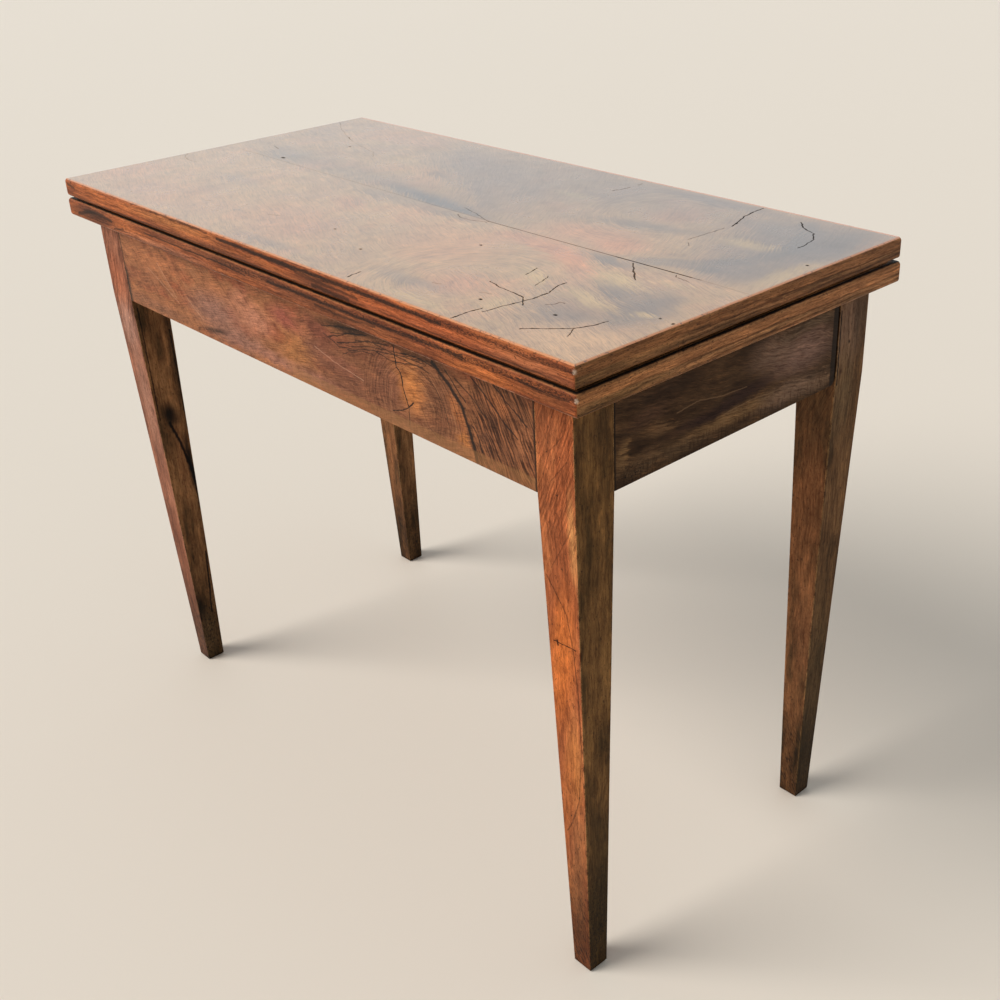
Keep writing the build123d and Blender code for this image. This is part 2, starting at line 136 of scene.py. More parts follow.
grey_walnut = ((0.066, 0.034, 0.014), (0.128, 0.063, 0.026), (0.2, 0.102, 0.043))
even_shares = (0.36, 0.5, 0.64)
top_shares = (0.34, 0.5, 0.66)
rail_shares = (0.36, 0.5, 0.66)
end_rail_shares = (0.4, 0.6)

# Grain of each material. For noise: the size of its spots, or their size along each direction, its detail
# and its roughness. For a wave or path that moves places: the size of its spots, its reach and its detail.
top_grain = {
    "wave": (55, 7, 4), "fibre": (1.3, 3, 0.7), "turned fibre": (1.4, 3, 0.7), "ripple": (3.6, 3, 0.6),
    "turned ripple": (3.8, 3, 0.6), "cloud": (26, 7, 0.7), "tone": (110, 5, 0.6), "crack path": (9, 2.4, 5),
    "crack width": (7, 4, 0.7), "seam path": (4, 0.3, 2), "spot path": (3, 0.8, 2), "edge": (9, 4, 0.55),
    "nick": ((5, 5, 1), 4, 0.7), "polish": (50, 5, 0.55),
}
leaf_grain = {
    "wave": (40, 2.6, 3), "broad": ((110, 12, 8), 5, 0.6), "band": ((90, 5, 3.4), 4, 0.65),
    "streak": ((34, 2.4, 1.5), 5, 0.7), "fine": ((7, 0.9, 0.7), 4, 0.75), "speck": ((3.4, 2, 1.6), 3, 0.7),
    "face path": (12, 2, 4), "nick": ((9, 2, 1.4), 4, 0.65),
}
rail_grain = {
    "wave": (34, 5, 4), "aslant": (1.7, 4, 0.7), "counter": (2.2, 3, 0.65), "cloud": ((17, 9, 9), 6, 0.72),
    "grit": ((3.6, 2, 2), 4, 0.7), "tone": ((70, 26, 26), 5, 0.6), "ring": (1.9, 3, 0.65),
    "flame": (2.6, 4, 0.7), "crack path": (6, 1.3, 3), "crack width": (6, 4, 0.7), "wisp path": (12, 2, 4),
    "tick": ((1.6, 40, 1), 3, 0.6),
}
end_rail_grain = {
    "wave": (40, 6, 4), "swirl": (3.4, 4, 0.7), "fine": (1.3, 3, 0.7), "cloud": ((30, 13, 13), 6, 0.72),
    "grit": (2.2, 4, 0.7), "tone": ((90, 24, 24), 5, 0.6), "thread path": (8, 1.4, 3),
    "tick": ((2.2, 16, 1), 3, 0.6),
}
leg_grain = {
    "wave": (55, 5, 3), "broad": ((18, 18, 90), 4, 0.6), "mottle": ((9, 9, 20), 6, 0.75),
    "streak": ((2.6, 2.6, 34), 5, 0.7), "fine": ((0.9, 0.9, 5), 4, 0.75), "speck": ((2.2, 2.2, 4.4), 4, 0.7),
    "blotch path": (10, 2.4, 4), "leaning": ((2, 2, 3.4), 4, 0.7), "wound width": ((6, 9, 1), 3, 0.55),
    "wound path": (6, 1.2, 3), "bruise": ((5, 5, 11), 4, 0.7), "scuff": ((2.2, 2.2, 9), 4, 0.7),
}
baize_grain = {"fuzz": (1.2, 4, 0.7), "faded": (120, 3, 0.55)}
metal_grain = {"stain_and_shadow": (14, 4, 0.6), "scratch": ((9, 0.5, 0.5), 3, 0.6)}

# Top veneer: its figure, and the fades from one place to another
swirl = (233, 143)
swirl_rim = (165, 95)
swirl_eye = (24, 60)
swirl_right = (300, 225)
seam_blend = 3
figure_slant = 0.42
figure_bend_reach = 240
figure_bend = 0.0016
figure_stretch = 0.07
feather_reach = 40
fine_feather_reach = 26
back_fade = (-70, 70)
top_edge_waver = 3
top_edge_fade = (6, 3.4)

# Edges of the leaves
corner_blend = 0.6
front_fade = (0, -10)
near_end_fade = (-60, -190)
far_end_fade = (-150, -20)
end_waver = 9
strip_level = 15.5
strip_fade = (6, 2.5)
dark_line_levels = (5, 10.5)
dark_line_waver = 3
dark_line_fade = (1.5, 0.5)
band_waver = 5
band_fade_shares = (1.4, 0.5)
band_start_waver = 160
band_start_fade = (40, 140)
nick_reach = 3
wear_and_highlight_fade = (3.2, 1.7)
outer_fade = (7, 5)
low_edge_shade_fade = (8, 2)
gap_shade_waver = 1.4
gap_shade_fade = (2, 0.8)
worn_glint_height = 16.4
worn_glint_waver = 5
worn_glint_fade = (6, 2.6)

# Rails
rail_stretch = 0.06
flame_stretch = 0.09
right_fade = (288, 306)
left_fade = (40, -160)
crotch = (207, 600)
crotch_rim = (92, 70)
crotch_eye = (22, 36)
crotch_rise = (574, 600)
foot_band_fade = (587, 584.5)
foot_band_start = (-20, 0)
joint_fade = (3, 0.8)
leg_shadow_waver = 16
leg_shadow_end = (-366, -374)
leg_shadow_foot = (632, 610)
rail_corner_reach = 12
end_rail_stretch = 0.08
end_rail_fine_feather = 24
end_rail_foot_fade = (596, 582)
end_rail_corner_reach = 7
end_joint_waver = 2
end_joint_fade = (3.2, 1.8)

# Legs
front_normal_fade = (-0.6, -0.8)
side_normal_fade = (0.6, 0.8)
grain_lean = 0.42
grain_lean_stretch = 0.1
curl_waver = 80
curl_fade = (520, 600)
arris_wear_radius = 2.6
bruise_radius = 5
foot_grime_waver = 140
foot_grime_fade = (270, 110)
scuff_lean = 0.5
leg_corner_reach = 11


def srgb(red, green, blue):
    """A colour given in display values, as the linear values that the shaders take."""
    shares = [value / 255.0 for value in (red, green, blue)]
    return tuple(share / 12.92 if share < 0.04045 else ((share + 0.055) / 1.055) ** 2.4 for share in shares)


def scaled(tint, level):
    return tuple(part * level for part in tint)


class Field:
    """A value, place or colour that varies over a surface."""

    def __init__(self, paint, socket):
        self.paint = paint
        self.socket = socket

    def __add__(self, other):
        return self.paint.sum("ADD", self, other)

    def __sub__(self, other):
        return self.paint.sum("SUBTRACT", self, other)

    def __rsub__(self, other):
        return self.paint.sum("SUBTRACT", other, self)

    def __mul__(self, other):
        return self.paint.sum("MULTIPLY", self, other)

    def size(self):
        return self.paint.sum("ABSOLUTE", self)

    def inside(self, low, high):
        """How far the value is inside its nearer limit."""
        return self.paint.least(self - low, high - self)

    def step(self, low, high):
        """0 at low, 1 at high and smooth between them. Low may be the greater one."""
        ends = (("To Min", 0), ("To Max", 1))
        if low > high:
            low, high = high, low
            ends = (("To Min", 1), ("To Max", 0))
        feeds = (("Value", self), ("From Min", low), ("From Max", high), *ends)
        return self.paint.make("ShaderNodeMapRange", "Result", feeds, interpolation_type="SMOOTHSTEP")

    def split(self):
        """The x, y and z of a place."""
        first = self.paint.make("ShaderNodeSeparateXYZ", 0, ((0, self),))
        return [Field(self.paint, output) for output in first.socket.node.outputs]

    def noise(self, name):
        """Noise from 0 to 1, of the grain with that name."""
        spot, detail, roughness = self.paint.grain[name]
        sizes = spot if isinstance(spot, tuple) else (spot, spot, spot)
        stretched = self.paint.vector("MULTIPLY", self, tuple(1 / length for length in sizes))
        feeds = (("Vector", stretched), ("Scale", 1), ("Detail", detail), ("Roughness", roughness))
        return self.paint.make("ShaderNodeTexNoise", "Fac", feeds)

    def shaken(self, name, flat=True):
        """The place, moved about by the wave or path with that name."""
        spot, reach, detail = self.paint.grain[name]
        stretched = self.paint.vector("SCALE", self, scale=1 / spot)
        feeds = (("Vector", stretched), ("Scale", 1), ("Detail", detail))
        colour = self.paint.make("ShaderNodeTexNoise", "Color", feeds)
        offset = self.paint.vector("SUBTRACT", colour, (middle, middle, middle))
        moves = (2 * reach, 2 * reach, 0 if flat else 2 * reach)
        return self.paint.vector("ADD", self, self.paint.vector("MULTIPLY", offset, moves))

    def feathered(self, across_share, broad, fine, fine_reach):
        """The place, moved so that patches get feathered ends along the figure."""
        reach = (broad - middle) * feather_reach + (fine - middle) * fine_reach
        return self.paint.vector("ADD", self, self.paint.vector("SCALE", (1, across_share, 0), scale=reach))

    def spot(self, centre, half, turn=0, soft=0.8):
        """1 inside an oval on the flat place, and smooth to 0 outside it."""
        outer = 1 + soft / 2
        feeds = (
            ("Vector", self), ("Location", (*centre, 0)), ("Rotation", (0, 0, math.radians(turn))),
            ("Scale", (half[0] * outer, half[1] * outer, 1)),
        )
        local = self.paint.make("ShaderNodeMapping", 0, feeds, vector_type="TEXTURE")
        gradient = (("Vector", local),)
        rise = self.paint.make("ShaderNodeTexGradient", "Fac", gradient, gradient_type="SPHERICAL")
        return rise.step(0, 1 - (1 - soft) / outer)

    def spots(self, rows):
        """1 on each small oval. A row is its middle, half length and half width."""
        mask = None
        for across, up, *half in rows:
            spot = self.spot((across, up), half, soft=0.5)
            mask = spot if mask is None else self.paint.most(mask, spot)
        return mask

    def away(self, line):
        """How far the flat place is from a line of points."""
        nearest = None
        for start, end in zip(line, line[1:]):
            run = (end[0] - start[0], end[1] - start[1], 0)
            share_per_length = tuple(length / (run[0] ** 2 + run[1] ** 2) for length in run)
            offset = self.paint.vector("SUBTRACT", self, (*start, 0))
            share = self.paint.vector("DOT_PRODUCT", offset, share_per_length)
            held = self.paint.make("ShaderNodeClamp", 0, (("Value", share),))
            distance = self.paint.vector("DISTANCE", offset, self.paint.vector("SCALE", run, scale=held))
            nearest = distance if nearest is None else self.paint.least(nearest, distance)
        return nearest

    def lines(self, rows, thinning=None, offset=0):
        """1 on each line, 0 away from it. A row is its half width, depth and points, across then up."""
        mask = None
        for half_width, depth, *numbers in rows:
            points = [(across + offset, up) for across, up in zip(numbers[::2], numbers[1::2])]
            away = self.away(points)
            if thinning is not None:
                away = away * thinning
            line = away.step(half_width, half_width * line_core_share) * depth
            mask = line if mask is None else self.paint.most(mask, line)
        return mask


class Paint:
    """Builds one procedural material from fields. Its place is the row frame in millimetres."""

    def __init__(self, name, grain):
        self.grain = grain
        self.material = bpy.data.materials.new(name)
        self.material.use_nodes = True
        self.tree = self.material.node_tree
        self.tree.nodes.clear()
        frame_place = self.make("ShaderNodeTexCoord", "Object")
        self.place = self.vector("SCALE", frame_place, scale=metre)
        self.normal = self.make("ShaderNodeTexCoord", "Normal")
        self.colour = black

    def make(self, kind, output, feeds=(), **settings):
        node = self.tree.nodes.new(kind)
        for key, value in settings.items():
            setattr(node, key, value)
        for key, value in feeds:
            self.feed(node.inputs[key], value)
        return Field(self, node.outputs[output])

    def feed(self, socket, value):
        if isinstance(value, Field):
            self.tree.links.new(value.socket, socket)
        elif isinstance(value, tuple) and socket.type == "RGBA":
            socket.default_value = (*value, 1)
        else:
            socket.default_value = value

    def sum(self, operation, first, second=0):
        return self.make("ShaderNodeMath", 0, ((0, first), (1, second)), operation=operation)

    def least(self, first, second):
        return self.sum("MINIMUM", first, second)

    def most(self, first, second):
        return self.sum("MAXIMUM", first, second)

    def vector(self, operation, first, second=None, scale=None):
        feeds = [(0, first)]
        if second is not None:
            feeds.append((1, second))
        if scale is not None:
            feeds.append(("Scale", scale))
        output = "Value" if operation in ("DISTANCE", "DOT_PRODUCT") else "Vector"
        return self.make("ShaderNodeVectorMath", output, feeds, operation=operation)

    def join(self, x=0, y=0, z=0):
        return self.make("ShaderNodeCombineXYZ", 0, (("X", x), ("Y", y), ("Z", z)))

    def mix(self, share, first, second, blend="MIX"):
        feeds = ((0, share), (6, first), (7, second))
        return self.make("ShaderNodeMix", 2, feeds, data_type="RGBA", blend_type=blend, clamp_factor=True)

    def ramp(self, value, shares, tints):
        """The tints, each at its share of the value, and even changes between them."""
        colour = self.make("ShaderNodeValToRGB", 0, ((0, value),))
        elements = colour.socket.node.color_ramp.elements
        while len(elements) < len(tints):
            elements.new(middle)
        for element, share, tint in zip(elements, shares, tints):
            element.position = share
            element.color = (*tint, 1)
        return colour

    def lay(self, share, tint):
        """Lays a tint over the colour so far."""
        self.colour = self.mix(share, self.colour, tint)

    def shade(self, share, tint=shadow):
        self.colour = self.mix(share, self.colour, tint, "MULTIPLY")

    def figure(self, value, dark, light, spread=0.14):
        """Darker where the value is over its middle, and brighter where it is under."""
        self.shade(value.step(middle, middle + spread) * dark)
        self.shade(value.step(light_from, light_from - spread) * light, lift)

    def patches(self, place, rows, offset=0, mask=None, soft=0.8):
        """Lays soft-edged ovals: the middle, half sizes, tint, strength and turn of each."""
        for across, up, half_across, half_up, tint, strength, *turn in rows:
            share = place.spot((across + offset, up), (half_across, half_up), *turn, soft=soft)
            if mask is not None:
                share = share * mask
            self.lay(share * strength, tint)

    def arris(self, radius, low=0.985, high=0.86):
        """1 on the arrises of the piece, 0 further in than the radius."""
        rounded = self.make("ShaderNodeBevel", 0, (("Radius", radius / metre),), samples=arris_samples)
        likeness = self.vector("DOT_PRODUCT", rounded, self.make("ShaderNodeNewGeometry", "True Normal"))
        return likeness.step(low, high)

    def shade_in_corners(self, reach, low=0.82, high=0.42):
        """1 far into corners and gaps, where shade falls, and 0 in the open: the mask of painted shade."""
        feeds = (("Distance", reach / metre),)
        return self.make("ShaderNodeAmbientOcclusion", "AO", feeds, samples=arris_samples).step(low, high)

    def finish(self, roughness, height, rise, **constants):
        """Height is 0 to 1 and rise its depth in millimetres."""
        shader = self.tree.nodes.new("ShaderNodeBsdfPrincipled")
        self.feed(shader.inputs["Base Color"], self.colour)
        self.feed(shader.inputs["Roughness"], roughness)
        feeds = (("Strength", 1), ("Distance", rise / metre), ("Height", height))
        self.feed(shader.inputs["Normal"], self.make("ShaderNodeBump", 0, feeds))
        for key, value in constants.items():
            self.feed(shader.inputs[key.replace("_", " ")], value)
        output = self.tree.nodes.new("ShaderNodeOutputMaterial")
        self.tree.links.new(shader.outputs[0], output.inputs[0])
        return self.material


def top_veneer():
    """Book-matched crotch veneer under old polish, with a swirl near the right end and drying cracks."""
    paint = Paint("top_veneer", top_grain)
    x, y, _ = paint.place.split()
    flat = paint.join(x, y)
    wavy = flat.shaken("wave")
    wavy_x, wavy_y, _ = wavy.split()
    folded = paint.join(wavy_x, (wavy_y - seam_y).size())

    # the fine figure runs aslant, steeper towards the back, and turns round the swirl
    from_swirl = paint.vector("DISTANCE", folded, (*swirl, 0))
    behind = y.step(seam_y - seam_blend, seam_y + seam_blend)
    past = paint.most(wavy_x + figure_bend_reach, 0)
    level = wavy_y + wavy_x * figure_slant + past * past * behind * figure_bend
    slanting = paint.join(level, wavy_x * figure_stretch, wavy_y * figure_stretch)
    turning = paint.join(from_swirl, wavy_x * figure_stretch, wavy_y * figure_stretch)
    near = from_swirl.step(*swirl_rim) * from_swirl.step(*swirl_eye)
    near = near * wavy_x.step(*swirl_right)
    far = 1 - near
    fibre = slanting.noise("fibre") * far + turning.noise("turned fibre") * near
    ripple = slanting.noise("ripple") * far + turning.noise("turned ripple") * near
    cloud = wavy.noise("cloud")
    place = wavy.feathered(0.7, ripple, fibre, fine_feather_reach)

    paint.colour = paint.ramp(wavy.noise("tone"), top_shares, top_tints)
    paint.patches(place, top_patches)
    paint.shade(y.step(*back_fade) * 0.15, black)
    paint.lay(place.lines(top_veins), slate)

    # the blue-black wedge that ends in the open seam
    wedge = place.spot((-12, 7), (124, 17), -7, 0.9)
    wedge = paint.most(wedge, place.spot((44, 1), (60, 9), -8, 0.9)) * behind
    paint.lay(wedge * 0.85, blue_black)

    paint.figure(cloud, 0.26, 0.16)
    paint.figure(ripple, 0.16, 0.07, 0.12)
    paint.figure(fibre, 0.4, 0.12, 0.12)

    # cracks, the open seam, dents and spots
    jagged = flat.shaken("crack path")
    thinning = flat.noise("crack width") * 4.4 - 0.6
    cracks = jagged.lines(top_cracks, thinning)
    seam = flat.shaken("seam path").lines(top_seams)
    spots = flat.shaken("spot path").spots(top_spots)
    holes = paint.most(paint.most(cracks, seam), spots)
    paint.lay(holes, black)

    # the worn edge all round
    edge = paint.least(x.inside(leaf_low_x, leaf_high_x), y.inside(leaf_low_y, leaf_high_y))
    wear_and_highlight = (edge + flat.noise("edge") * top_edge_waver).step(*top_edge_fade)
    paint.lay(wear_and_highlight * 0.85, (0.68, 0.23, 0.07))
    nicks = flat.noise("nick").step(0.56, 0.63) * wear_and_highlight
    paint.lay(nicks * 0.7, soot)

    height = fibre * 0.12 + ripple * 0.1 + (1 - holes) * 0.78
    roughness = wavy.noise("polish") * 0.14 + 0.22 + holes * 0.5
    polish = 1 - holes
    return paint.finish(roughness, height, 0.2, Specular_IOR_Level=polish * 0.5,
                        Coat_Weight=polish * 0.7, Coat_Roughness=0.2)


def leaf_board(name, seed, low_z, reach, end_level, zones, bands_and_highlight, streaks_and_shadow):
    """Solid walnut with streaks and painted shadow lines along its edges, worn pale arrises that are partly
    painted highlight, and painted shade low on its edges and towards the other leaf.
    """
    paint = Paint(name, leaf_grain)
    x, y, z = paint.place.split()
    edge_x = x.inside(leaf_low_x - reach, leaf_high_x + reach)
    edge_y = y.inside(leaf_low_y, leaf_high_y)
    end_share = (edge_x - edge_y).step(corner_blend, -corner_blend)
    along = x * (1 - end_share) + y * end_share
    across = edge_y * (1 - end_share) + edge_x * end_share
    grain = paint.join(along + seed, across, z + seed)
    wavy = grain.shaken("wave", flat=False)
    broad = wavy.noise("broad")
    band = wavy.noise("band")
    streak = wavy.noise("streak")
    fine = wavy.noise("fine")
    speck = grain.noise("speck")
    front_tone = paint.ramp(broad, even_shares, front_edge_tints)
    end_tone = paint.ramp(broad, even_shares, [scaled(tint, end_level) for tint in end_edge_tints])
    paint.colour = paint.mix(end_share, front_tone, end_tone)
    face = paint.join(x, z).shaken("face path")
    front = (1 - end_share) * y.step(*front_fade)
    paint.patches(face, zones, mask=front, soft=0.9)

    # the end: olive near the front, an orange strip and two dark lines towards the back
    near_end = end_share * y.step(*near_end_fade)
    paint.shade(near_end * 0.5, (0.5, 0.56, 0.46))
    wavering = z + (broad - middle) * end_waver - low_z
    strip = (wavering - strip_level).size().step(*strip_fade) * end_share
    paint.lay(strip * 0.6, scaled((0.4, 0.16, 0.06), end_level))
    far_end = end_share * y.step(*far_end_fade)
    for level in dark_line_levels:
        from_line = (wavering - level + (band - middle) * dark_line_waver).size()
        paint.shade(from_line.step(*dark_line_fade) * far_end * 0.75, (0.3, 0.22, 0.18))
    paint.figure(band, 0.5, 0.26, 0.1)
    paint.figure(streak, 0.5, 0.3, 0.1)

    # bands across the edge; the pale band at the foot of the lower leaf is a painted highlight
    for level, half, start, tint, strength in bands_and_highlight:
        from_band = (z + (streak - middle) * band_waver - (low_z + level)).size()
        share = from_band.step(*(half * fade for fade in band_fade_shares))
        started = (along + broad * band_start_waver).step(*(start + fade for fade in band_start_fade))
        share = share * started * (1 - end_share * 0.75)
        paint.lay(share * speck.step(0.62, 0.4) * strength, tint)
    paint.shade(fine.step(0.5, 0.62) * 0.6, (0.2, 0.14, 0.12))
    # dark streaks; on the upper leaf, the lines along its foot are a painted shadow above the gap
    dark = face.lines(streaks_and_shadow, streak * 2.6 - 0.1) * front
    paint.lay(dark * 0.9, soot)
    paint.lay(speck.step(0.57, 0.66) * 0.8, soot)

    # worn arrises and corners, partly painted highlight, painted shade low on the edges, and painted shade
    # on the sides that face each other
    from_top = (low_z + leaf_thickness) - z
    from_foot = z - low_z
    nicks = grain.noise("nick")
    # pale arrises: wear, and a painted highlight along the top and foot arrises
    wear_and_highlight = (paint.least(from_top, from_foot) + nicks * nick_reach).step(*wear_and_highlight_fade)
    outer = paint.least(edge_x, edge_y).step(*outer_fade)
    # painted shade on the lower part of the edge
    low_edge_shade = from_foot.step(*low_edge_shade_fade) * outer
    paint.shade(low_edge_shade * 0.35)
    paint.lay(wear_and_highlight * outer * 0.75, (0.62, 0.255, 0.09))
    paint.lay(wear_and_highlight * outer * speck.step(0.54, 0.62) * 0.8, soot)
    # painted shade on the side that faces the other leaf, to darken the gap between the leaves
    inner = from_foot if low_z == upper_leaf_z else from_top
    grime_and_shade = (inner + nicks * gap_shade_waver).step(*gap_shade_fade)
    paint.lay(grime_and_shade * outer, soot)
    # a pale spot at the near corner: wear, and a painted highlight
    corner = paint.join(leaf_high_x + reach, leaf_low_y, low_z + worn_glint_height)
    worn_glint = paint.vector("DISTANCE", paint.place, corner) + nicks * worn_glint_waver
    paint.lay(worn_glint.step(*worn_glint_fade), (0.74, 0.56, 0.42))
    height = streak * 0.4 + fine * 0.6
    roughness = streak * 0.2 + 0.36
    return paint.finish(roughness, height, 0.3, Specular_IOR_Level=0.07)


def plain_timber(name, light, dark, grain):
    """Unpolished wood of the inside, with its grain along one direction."""
    ring_grain = tuple(length * 3 for length in grain)
    paint = Paint(name, {"wave": (70, 3, 2), "ring": (ring_grain, 3, 0.5), "fine": (grain, 5, 0.65)})
    wavy = paint.place.shaken("wave", flat=False)
    rings = wavy.noise("ring")
    fine = wavy.noise("fine")
    paint.colour = paint.mix(rings.step(0.35, 0.65), light, dark)
    paint.lay(fine.step(0.5, 0.8) * 0.4, scaled(dark, 0.5))
    roughness = fine * 0.2 + 0.6
    return paint.finish(roughness, fine, 0.25, Specular_IOR_Level=0.25)


def front_rail_paint():
    """Crotch veneer laid along the rail: golden ripple, a rosy middle, the crotch itself and dark flames."""
    paint = Paint("front_rail_veneer", rail_grain)
    x, _, z = paint.place.split()
    flat = paint.join(x, z)
    wavy = flat.shaken("wave")
    wavy_x, wavy_z, _ = wavy.split()
    aslant = paint.join(wavy_z * 1.3 - wavy_x * 0.24, wavy_x * rail_stretch, 0).noise("aslant")
    counter = paint.join(wavy_z * 0.9 + wavy_x * 0.75, wavy_x * rail_stretch, 0).noise("counter")
    cloud = wavy.noise("cloud")
    right = wavy_x.step(*right_fade)
    calm = 1 - right * 0.8
    grit = flat.noise("grit")
    place = wavy.feathered(0.35, cloud, aslant, fine_feather_reach)
    paint.colour = paint.ramp(wavy.noise("tone"), rail_shares, rail_tints)
    paint.patches(place, rail_patches)
    paint.patches(place, rail_smears, soft=0.9)

    # ripple along the left, counter ripple, arcs round the crotch and flames at the right end
    left = wavy_x.step(*left_fade)
    paint.figure(cloud, 0.46, 0.22, 0.11)
    paint.figure(aslant, calm * 0.46, calm * 0.26, 0.1)
    paint.shade(counter.step(0.5, 0.62) * left * 0.35)
    paint.lay(counter.step(0.42, 0.34) * left * 0.28, (0.56, 0.27, 0.145))
    paint.shade(grit.step(0.52, 0.64) * 0.5)
    paint.lay(grit.step(0.4, 0.3) * 0.35, (0.56, 0.25, 0.11))

    from_crotch = paint.vector("DISTANCE", wavy, (*crotch, 0))
    ringed = paint.join(from_crotch, wavy_x * rail_stretch, wavy_z * rail_stretch).noise("ring")
    rings_near = from_crotch.step(*crotch_rim) * from_crotch.step(*crotch_eye)
    rings_near = rings_near * (wavy_z.step(*crotch_rise) * 0.7 + 0.3)
    paint.shade(ringed.step(0.5, 0.6) * rings_near * 0.48, (0.22, 0.17, 0.15))
    paint.lay(ringed.step(0.44, 0.34) * rings_near * 0.22, (0.48, 0.23, 0.1))

    flame_place = paint.join(wavy_z * 0.55 + wavy_x, wavy_x * flame_stretch, wavy_z * flame_stretch)
    flame = flame_place.noise("flame")
    paint.shade(flame.step(0.48, 0.58) * right * 0.8, (0.16, 0.13, 0.12))
    paint.lay(flame.step(0.47, 0.36) * right * 0.62, (0.42, 0.15, 0.058))

    # pale threads, the black streak, cracks, the cross-banded foot of the rail, and painted shade by the leg
    # and in the corners
    jagged = flat.shaken("crack path")
    thinning = flat.noise("crack width") * 3.4 - 0.4
    paint.lay(jagged.lines(rail_threads, thinning) * 0.5, (0.6, 0.32, 0.2))
    paint.lay(flat.shaken("wisp path").lines(rail_wisps, thinning) * 0.92, jet)
    cracks = jagged.lines(rail_cracks, thinning)
    paint.lay(cracks, black)
    foot_share = z.step(*foot_band_fade) * x.step(*foot_band_start)
    ticks = flat.noise("tick")
    banded = paint.mix(ticks.step(0.45, 0.6) * 0.5, (0.34, 0.16, 0.058), (0.2, 0.08, 0.034))
    paint.lay(foot_share * 0.35, banded)
    joint = x.size().step(*(rail_joint_x - fade for fade in joint_fade))
    paint.lay(joint * 0.8, soot)
    # painted shadow of the leg on the left end of the rail, and painted shade in the corners
    stain_and_shadow = (x + grit * leg_shadow_waver).step(*leg_shadow_end) * z.step(*leg_shadow_foot)
    paint.lay(paint.most(stain_and_shadow, paint.shade_in_corners(rail_corner_reach, low=0.86)) * 0.85, soot)

    height = aslant * 0.2 + grit * 0.1 + (1 - cracks) * 0.7
    roughness = aslant * 0.15 + 0.34
    return paint.finish(roughness, height, 0.25, Specular_IOR_Level=0.09)


def end_rail_paint(name, seed):
    """Dark veneer along an end rail, darker partly as painted shade, with slow swirls and a paler streak
    above its lower edge.
    """
    paint = Paint(name, end_rail_grain)
    _, y, z = paint.place.split()
    flat = paint.join(y + seed, z)
    wavy = flat.shaken("wave")
    wavy_y, wavy_z, _ = wavy.split()
    swirled = paint.join(wavy_z * 1.2 + wavy_y * 0.2, wavy_y * end_rail_stretch, 0).noise("swirl")
    fine = paint.join(wavy_z * 1.4 + wavy_y * 0.5, wavy_y * end_rail_stretch, 0).noise("fine")
    cloud = wavy.noise("cloud")
    grit = flat.noise("grit")
    place = wavy.feathered(0.3, cloud, swirled, end_rail_fine_feather)
    # tints darker partly as painted shade
    paint.colour = paint.ramp(wavy.noise("tone"), end_rail_shares, end_rail_tints_with_shade)
    paint.patches(place, end_rail_patches, offset=seed)
    paint.figure(cloud, 0.45, 0.26)
    paint.figure(swirled, 0.5, 0.28, 0.11)
    paint.figure(fine, 0.45, 0.26, 0.11)
    threads = flat.shaken("thread path").lines(end_rail_threads, offset=seed)
    paint.lay(threads * 0.6, (0.28, 0.16, 0.085))
    ticks = flat.noise("tick").step(0.52, 0.6) * z.step(*end_rail_foot_fade)
    paint.shade(ticks * 0.6)
    splatter = grit.step(0.52, 0.6) * wavy.spot((-138 + seed, 583), (26, 13), soft=0.9)
    paint.lay(splatter * 0.95, black)
    paint.lay(grit.step(0.62, 0.7) * 0.7, soot)
    # painted shade in the corners, under the leaf and by the legs
    grime_and_shade = paint.shade_in_corners(end_rail_corner_reach, high=0.4)
    paint.lay(grime_and_shade * 0.85, soot)
    from_joint = y.inside(end_rail_low_y, end_rail_high_y)
    paint.lay((from_joint + grit * end_joint_waver).step(*end_joint_fade) * 0.85, soot)
    roughness = swirled * 0.15 + 0.42
    return paint.finish(roughness, swirled * 0.7 + fine * 0.3, 0.25, Specular_IOR_Level=(1 - grime_and_shade) * 0.05)


